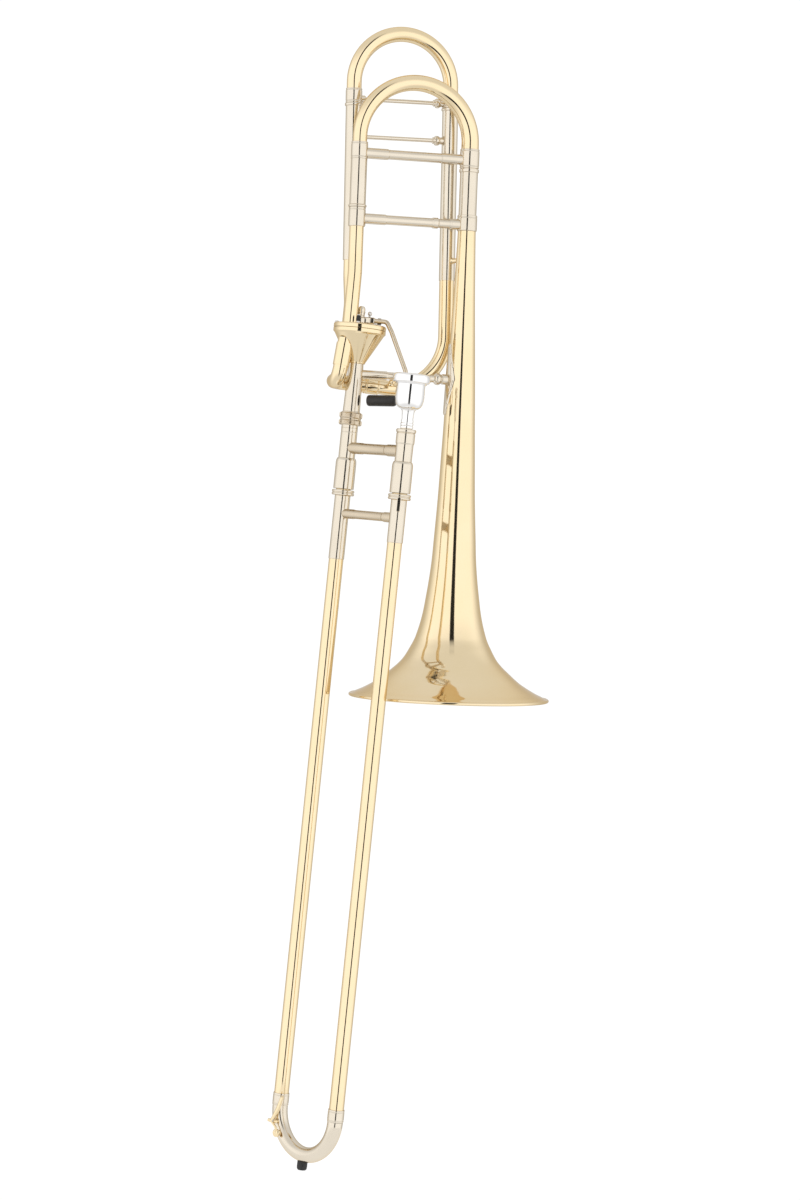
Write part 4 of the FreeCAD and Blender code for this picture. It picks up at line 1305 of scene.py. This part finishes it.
@dataclass(frozen=True)
class InnerSlide:
    """Chromed inner tubes, stockings, cork barrels, sleeves, leadpipe and brace."""

    bore: float = 6.95
    tube: float = 7.2
    stocking: float = 7.4
    low_z: float = 84.0
    barrel_low: float = 721.0
    barrel_top: float = 754.0
    brace_z: float = 765.0

    def tubes(self) -> list[bpy.types.Object]:
        """Draw the tubes, with their stockings, cork barrels and corks.

        Returns:
            The pieces.
        """
        tubes = Former()
        stockings = Former()
        barrels = Former()
        corks = Former()
        low, top = self.barrel_low, self.barrel_top
        for at in (Vector(), MOUTH_STEP):
            tubes.sleeve(self.bore, self.tube, self.low_z, 786.0, at, 0.1)
            stockings.turn(soften([
                (self.tube, self.low_z), (self.stocking, self.low_z), (self.stocking, 198.5), (self.tube + 0.02, 200.0),
                (self.tube, 200.0)], 0.2), at)
            barrels.turn(soften([
                (9.0, low), (10.8, low), (11.0, low + 0.8), (11.0, top - 5.0), (10.7, top - 2.4), (9.8, top - 0.3),
                (9.4, top), (self.tube, top), (self.tube, 751.0), (9.0, 751.0)], 0.6), at)
            corks.sleeve(self.tube, 8.95, 745.0, 751.0, at)
        return [tubes.emit("inner_tubes_drawn", NICKEL, Body.INNER, ["inner_tubes"]),
                stockings.emit("stockings_drawn", NICKEL, Body.INNER, ["stockings"]),
                barrels.emit("cork_barrels_turned", NICKEL, Body.INNER, ["cork_barrels"]),
                corks.emit("slide_corks_cut", CORK, Body.INNER, ["slide_corks"])]

    def heads(self) -> list[bpy.types.Object]:
        """Turn the sleeve under the lock nut, the mouthpiece receiver, the leadpipe and the brace.

        Returns:
            The pieces.
        """
        sleeve = Former().turn(soften([
            (self.tube, self.barrel_top), (8.9, self.barrel_top), (8.9, 781.0), (8.6, 781.6), (8.9, 782.2),
            (8.9, 786.0), (self.tube, 786.0)], 0.35))
        receiver = Former().turn(soften([
            (self.tube, self.barrel_top), (9.0, self.barrel_top), (9.2, 772.0), (9.9, 773.6), (9.9, 783.4),
            (9.4, 783.8), (9.4, 784.3), (10.2, 784.6), (10.5, 785.2), (10.5, 787.2), (9.9, 788.0), (7.4, 788.0),
            (7.1, 786.0), (self.tube, 786.0)], 0.4), MOUTH_STEP)
        lead = Former().turn([(6.2, 560), (self.bore, 560), (self.bore, 785.9), (6.33, 785.9), (5.97, 762.0),
                              (5.4, 738.0), (5.4, 700.0)], MOUTH_STEP, steps=40)
        foot = Vector((0, 0, self.brace_z))
        brace = Former().strut(foot, foot + MOUTH_STEP, [
            (6.1, 0), (6.1, 23.6), (5.7, 25.6), (5.7, -26), (6.3, -24), (6.3, -0.01)], (8.9, 9.13), 0.7)
        return [sleeve.emit("upper_sleeve_turned", NICKEL, Body.INNER, ["upper_sleeve_a"]),
                receiver.emit("mouthpiece_receiver_turned", NICKEL, Body.INNER, ["mouthpiece_receiver"]),
                lead.emit("leadpipe_drawn", BRASS, Body.INNER, ["leadpipe"]),
                brace.emit("inner_brace_turned", SATIN, Body.INNER, ["inner_brace"])]

    def build(self) -> list[bpy.types.Object]:
        """Make every piece of the inner slide."""
        return [*self.tubes(), *self.heads()]


@dataclass(frozen=True)
class OuterSlide:
    """Outer tubes, sleeves, rings, brace, crook and bumper."""

    tube_in: float = 7.45
    tube: float = 7.85
    sleeve: float = 8.4
    crook_z: float = 60.5
    crook_tube: float = 8.2
    tube_top: float = 744.9
    ring_z: float = 714.0
    brace_z: float = 695.0
    catch_turn: float = -14.8

    def tubes(self) -> list[bpy.types.Object]:
        """Draw the tubes, with their oversleeves and crook ferrules.

        Returns:
            The pieces.
        """
        tubes = Former()
        sleeves = Former()
        ferrules = Former()
        for at, sleeve_low in ((Vector(), 646.0), (MOUTH_STEP, 669.0)):
            tubes.sleeve(self.tube_in, self.tube, self.crook_z, self.tube_top, at, 0.12)
            sleeves.turn(soften([
                (self.tube, sleeve_low), (self.sleeve - 0.25, sleeve_low), (self.sleeve, sleeve_low + 0.8),
                (self.sleeve, self.ring_z), (self.tube, self.ring_z)], 0.25), at)
            ferrules.turn(soften([
                (self.tube, self.crook_z), (8.5, self.crook_z), (8.7, 61.8), (8.3, 62.4), (8.7, 63.0), (8.7, 70.8),
                (8.3, 71.4), (8.7, 72.0), (8.5, 73.5), (self.tube, 73.5)], 0.35), at)
        return [tubes.emit("outer_tubes_drawn", BRASS, Body.OUTER, ["outer_tubes"]),
                sleeves.emit("oversleeves_turned", NICKEL, Body.OUTER, ["oversleeves"]),
                ferrules.emit("crook_ferrules_turned", NICKEL, Body.OUTER, ["crook_ferrules"])]

    def ring_outline(self, bore: float, low: float) -> list[Point]:
        """Double-beaded outline of a top ring.

        Args:
            bore: Inner radius in mm.
            low: Lower height in mm.

        Returns:
            The outline.
        """
        return soften([
            (bore, low), (11.2, low), (12.0, low + 0.8), (12.0, low + 2.1), (11.4, low + 2.7), (11.4, low + 3.3),
            (12.0, low + 3.9), (12.0, low + 5.2), (11.2, 720.0), (bore, 720.0)], 0.5)

    def rings(self) -> list[bpy.types.Object]:
        """Turn the top ring and the slide lock ring with its catch tab.

        Returns:
            The pieces.
        """
        top = Former().turn(self.ring_outline(self.tube, self.ring_z))
        lock = Former().turn(self.ring_outline(self.tube + 0.05, self.ring_z + 0.1), MOUTH_STEP)
        turn = Matrix.Rotation(math.radians(self.catch_turn), 3, "Z")
        rows = []
        for inset, z in ((0.5, 702.0), (0.0, 702.5), (0.0, 715.5), (0.5, 716.0)):
            half, near, far = 1.9 - inset * 0.6, -8.9, -12.1 + inset * 0.6
            corners = [(-half, near), (-half, far + 0.4), (-half + 0.4, far), (half - 0.4, far),
                       (half, far + 0.4), (half, near)]
            rows.append([MOUTH_STEP + turn @ Vector((x, y, z)) for x, y in corners])
        lock.grid(rows)
        return [top.emit("top_ring_turned", NICKEL, Body.OUTER, ["top_ring"]),
                lock.emit("slide_lock_ring_turned", NICKEL, Body.LOCK_RING, ["slide_lock_ring"])]

    def brace(self) -> bpy.types.Object:
        """Turn the hand brace of the outer slide.

        Returns:
            The piece.
        """
        foot = Vector((0, 0, self.brace_z))
        form = Former().strut(foot, foot + MOUTH_STEP, [
            (5.1, 0), (5.1, 20.6), (4.7, 22.8), (4.7, -21), (5.3, -19), (5.3, -0.01)],
            (self.sleeve, self.sleeve), 0.7)
        return form.emit("outer_brace_turned", SATIN, Body.OUTER, ["outer_brace"])

    def crook(self) -> list[bpy.types.Object]:
        """Bend the slide crook and fit its bumper.

        Returns:
            The pieces.
        """
        middle = MOUTH_STEP * 0.5
        half = SLIDE_SPACING / 2
        path = []
        for step in range(57):
            angle = math.pi * (1 + step / 56)
            path.append(middle + UP * self.crook_z + HALF_STEP * (half * math.cos(angle)) + UP * (
                half * math.sin(angle)))
        crook = Former().pipe(path, lambda share: self.crook_tube, 0.7, 64)
        socket = Former().turn(soften([(0, 4.0), (2.4, 4.0), (2.4, 9.5), (0, 9.5)], 0.3), middle)
        bumper = Former().turn(soften([
            (0, 0), (4.2, 0), (5.2, 1.2), (5.5, 3.6), (5.4, 10.0), (2.45, 10.0), (2.45, 4.0), (0, 4.0)], 0.7), middle)
        return [crook.emit("slide_crook_bent", NICKEL, Body.OUTER, ["slide_crook"]),
                socket.emit("bumper_socket_turned", BRASS, Body.OUTER, ["bumper_socket"]),
                bumper.emit("bumper_moulded", RUBBER, Body.OUTER, ["bumper"])]

    def build(self) -> list[bpy.types.Object]:
        """Make every piece of the outer slide."""
        return [*self.tubes(), *self.rings(), self.brace(), *self.crook()]


@dataclass(frozen=True)
class WaterKey:
    """Water key with its nipple, saddle, lever, cup cork, spring and screw."""

    turn: float = -14.8
    hinge: Spot = (-6.6, 11.2, 44.5)
    mouth: Spot = (0.0, 15.8, 33.0)

    def at(self, right: float, front: float, z: float) -> Vector:
        """Point to the right and front of axis A in the key's own frame."""
        return Matrix.Rotation(math.radians(self.turn), 3, "Z") @ Vector((right, -front, z))

    def build(self) -> list[bpy.types.Object]:
        """Make every piece of the water key.

        Returns:
            The pieces.
        """
        aim = self.at(-0.6, 0.8, 0).normalized()
        axle = self.at(0.8, 0.6, 0).normalized()
        mouth = self.at(*self.mouth)
        pivot = self.at(*self.hinge)
        base = Former().turn(soften([(1.6, 0), (4.4, 0), (4.4, 1.2), (3.2, 2.6), (2.9, 3.4), (2.9, 8.4),
                                     (2.6, 9.0), (1.6, 9.0)], 0.35), mouth - aim * 9.0, aim, 40)
        for side in (-1, 1):
            ear = pivot + axle * (side * 4.4)
            base.turn(soften([(0, -0.9), (1.7, -0.9), (1.7, 0.9), (0, 0.9)], 0.35), ear, axle, 32)
            base.pipe([ear, ear - aim * 4.0, ear - aim * 7.5], lambda share: 0.9 + 0.5 * share, 0.0, 20)
        base.turn(soften([(0, 0), (5.4, 0), (5.4, 1.2), (4.6, 1.8), (0, 2.0)], 0.4), pivot - aim * 6.4, aim, 40)
        cork = Former().turn(soften([(0, 0), (3.4, 0), (3.4, 1.6), (0, 1.6)], 0.3), mouth + aim * 0.02, aim, 40)
        lever = Former().turn(soften([(0, 1.6), (3.4, 1.6), (3.4, 0.5), (4.2, 0.5), (4.2, 2.4), (3.4, 3.1),
                                      (1.8, 3.5), (0, 3.6)], 0.35), mouth + aim * 0.02, aim, 40)
        lever.turn(soften([(0.95, -3.4), (1.9, -3.4), (1.9, 3.4), (0.95, 3.4)], 0.3), pivot, axle, 32)
        root = mouth + aim * 3.0
        arm = route([root, root + UP * 6.0, pivot + aim * 1.6], [3.0], 8)
        lever.pipe(arm, lambda share: 1.3 - 0.15 * share, 0.0, 20)
        touch = route([pivot + aim * 0.9, self.at(-1.6, 14.5, 58), self.at(1.6, 16.2, 71)], [14.0], 10)
        lever.pipe(touch, lambda share: 1.8 + 0.6 * math.sin(math.pi * min(share * 1.2, 1.0)), 0.0, 24)
        lever.turn(soften([(0, -1.5), (1.3, -1.2), (1.9, 0), (1.3, 1.2), (0, 1.6)], 0.6), touch[-1],
                   touch[-1] - touch[-2], 24)
        screw = Former().turn(soften([(0, -5.4), (0.88, -5.4), (0.88, 5.3), (1.8, 5.3), (1.8, 6.0), (1.3, 6.4),
                                      (0, 6.5)], 0.2), pivot, axle, 28)
        spring = coil("water_key_spring", STEEL, 3.0, 2.15, 0.75, 0.28,
                      Matrix.Translation(pivot + axle * 1.0) @ axle.to_track_quat("Z", "Y").to_matrix().to_4x4())
        return [base.emit("water_key_base_fitted", BRASS, Body.OUTER, ["water_key_base"]),
                cork.emit("water_key_cork_cut", CORK, Body.WATER_KEY, ["water_key_cork"]),
                lever.emit("water_key_lever_formed", BRASS, Body.WATER_KEY, ["water_key_lever"]),
                screw.emit("water_key_screw_turned", BRASS, Body.OUTER, ["water_key_screw"]),
                settle(spring, STEEL, Body.OUTER, [])]


@dataclass(frozen=True)
class Mouthpiece:
    """One-piece mouthpiece."""

    rim_low: float = 836.5
    rim_top: float = 846.0
    rim_radius: float = 19.6

    def build(self) -> list[bpy.types.Object]:
        """Turn the mouthpiece with its shank, cup and rounded rim.

        Returns:
            The pieces.
        """
        top = self.rim_top
        outside = smooth_curve([(6.6, 806.0), (7.8, 808.6), (10.4, 809.8), (13.2, 812.6), (14.9, 817.6),
                                (15.3, 823.0), (15.1, self.rim_low - 1.6)], 5)
        rim = smooth_curve([
            (16.2, self.rim_low), (18.6, self.rim_low + 0.3), (self.rim_radius, self.rim_low + 2.2),
            (self.rim_radius, top - 3.4), (18.7, top - 1.0), (16.6, top), (14.4, top - 0.7), (12.9, top - 3.4),
            (12.2, top - 9), (9.8, top - 19), (6.4, top - 27), (3.6, top - 32)], 5)
        rings = [(6.32, 788.5), (6.9, 789.6), (6.9, 791.0), (6.3, 791.8), (6.9, 792.8), (6.9, 794.0),
                 (6.3, 794.8), (6.7, 796.0), (6.6, 797.2), (6.1, 798.4)]
        outline = [(4.2, 762.0), (5.93, 762.0)] + rings + outside + rim + [(3.4, top - 38)]
        form = Former().turn(outline, MOUTH_STEP, steps=96)
        return [form.emit("mouthpiece_turned", SILVER, Body.MOUTHPIECE, ["mouthpiece"])]


# ---------------------------------------------------------------- studio


@dataclass(frozen=True)
class Studio:
    """White studio, pale floor and camera."""

    yaw: float = -0.258377
    pitch: float = 0.0137462
    roll: float = 0.1024768
    lens: float = 87.493
    distance: float = 3.126175
    aim: Spot = (0.05348, 0.03863, 0.6092)
    bright: float = 1.26
    dim: float = 0.86
    dark: float = 0.02
    strip_half_width: float = 8.0
    floor_radius: float = 0.2

    def camera(self) -> None:
        """Stand the camera."""
        back = Vector((math.sin(self.yaw) * math.cos(self.pitch), -math.cos(self.yaw) * math.cos(self.pitch),
                       math.sin(self.pitch)))
        right = (-back).cross(UP).normalized()
        up = right.cross(-back)
        across = right * math.cos(self.roll) + up * math.sin(self.roll)
        above = up * math.cos(self.roll) - right * math.sin(self.roll)
        data = bpy.data.cameras.new("camera")
        data.sensor_width = 36.0
        data.lens = self.lens
        data.clip_start = 0.1
        data.clip_end = 60.0
        camera = bpy.data.objects.new("camera", data)
        turn = Matrix((across, above, back)).transposed().to_4x4()
        camera.matrix_world = Matrix.Translation(Vector(self.aim) + back * self.distance) @ turn
        bpy.context.scene.collection.objects.link(camera)
        bpy.context.scene.camera = camera

    def floor(self) -> None:
        """Lay the pale floor."""
        former = Former().turn([(0, -2.0), (self.floor_radius * 1000, -2.0), (self.floor_radius * 1000, -0.05),
                                (0, -0.05)], steps=96)
        bmesh.ops.recalc_face_normals(former.mesh, faces=former.mesh.faces)
        former.mesh.transform(Matrix.Scale(0.001, 4))
        data = bpy.data.meshes.new("floor")
        former.mesh.to_mesh(data)
        former.mesh.free()
        floor = bpy.data.objects.new("floor", data)
        bpy.context.scene.collection.objects.link(floor)
        mat = bpy.data.materials.new("pale_floor")
        mat.use_nodes = True
        tree = mat.node_tree
        shader = tree.nodes["Principled BSDF"]
        shader.inputs["Base Color"].default_value = (0.08, 0.08, 0.08, 1.0)
        shader.inputs["Roughness"].default_value = 0.9
        shader.inputs["Emission Color"].default_value = (1.0, 1.0, 1.0, 1.0)
        shader.inputs["Emission Strength"].default_value = 0.98
        floor.data.materials.append(mat)

    def world(self) -> None:
        """Light the studio: white walls, dimmer ceiling and ends, and one dark strip behind the camera."""
        world = bpy.data.worlds.new("studio")
        bpy.context.scene.world = world
        world.use_nodes = True
        tree = world.node_tree
        tree.nodes.clear()
        coords = tree.nodes.new("ShaderNodeTexCoord")
        split = tree.nodes.new("ShaderNodeSeparateXYZ")
        tree.links.new(coords.outputs["Generated"], split.inputs[0])
        x, y, z = (split.outputs[key] for key in ("X", "Y", "Z"))
        azimuth = self.yaw
        toward = maths(tree, "ADD", maths(tree, "MULTIPLY", x, math.sin(azimuth)),
                           maths(tree, "MULTIPLY", y, -math.cos(azimuth)))
        aside = maths(tree, "ADD", maths(tree, "MULTIPLY", x, math.cos(azimuth)),
                          maths(tree, "MULTIPLY", y, math.sin(azimuth)))
        angle = maths(tree, "ABSOLUTE", maths(tree, "ARCTAN2", aside, toward))
        half = math.radians(self.strip_half_width)
        strip = ease(tree, angle, half * 0.88, half * 1.14)
        height = maths(tree, "ABSOLUTE", z)
        strip_end = ease(tree, height, 0.55, 0.85)
        opening = maths(tree, "MAXIMUM", strip, strip_end)
        behind = ease(tree, angle, math.radians(140), math.radians(85))
        level = ease(tree, height, 0.80, 0.30)
        wall = maths(tree, "MULTIPLY_ADD", level, self.bright - self.dim, self.dim)
        hidden = maths(tree, "MULTIPLY", maths(tree, "SUBTRACT", 1.0, behind), level)
        back_wall = maths(tree, "MULTIPLY_ADD", hidden, -0.45, 1.0)
        light = maths(tree, "MULTIPLY", wall, back_wall)
        lit = maths(tree, "MULTIPLY", light, maths(tree, "MULTIPLY_ADD", opening, 1 - self.dark, self.dark))
        glow = tree.nodes.new("ShaderNodeBackground")
        glow.inputs["Color"].default_value = (1.0, 1.0, 1.0, 1.0)
        tree.links.new(lit, glow.inputs["Strength"])
        white = tree.nodes.new("ShaderNodeBackground")
        white.inputs["Color"].default_value = (1.0, 1.0, 1.0, 1.0)
        white.inputs["Strength"].default_value = 1.05
        ray = tree.nodes.new("ShaderNodeLightPath")
        mix = tree.nodes.new("ShaderNodeMixShader")
        tree.links.new(ray.outputs["Is Camera Ray"], mix.inputs[0])
        tree.links.new(glow.outputs[0], mix.inputs[1])
        tree.links.new(white.outputs[0], mix.inputs[2])
        out = tree.nodes.new("ShaderNodeOutputWorld")
        tree.links.new(mix.outputs[0], out.inputs["Surface"])

    def build(self) -> None:
        """Set up the whole studio."""
        bpy.context.scene.view_settings.view_transform = "Standard"
        self.camera()
        self.floor()
        self.world()


def main() -> None:
    """Build the instrument and its studio."""
    logging.basicConfig(level=logging.INFO)
    for finish in FINISHES:
        MATERIALS[finish.name] = finish.build()
    Studio().build()
    bell = BellSection()
    sections = (bell.build(), MainTuningSlide().build(), FAttachment().build(), Valve().build(),
                BellLock().build(bell), InnerSlide().build(), OuterSlide().build(), WaterKey().build(),
                Mouthpiece().build())
    LOG.info("%d pieces built", sum(len(made) for made in sections))


if __name__ == "__main__":
    main()
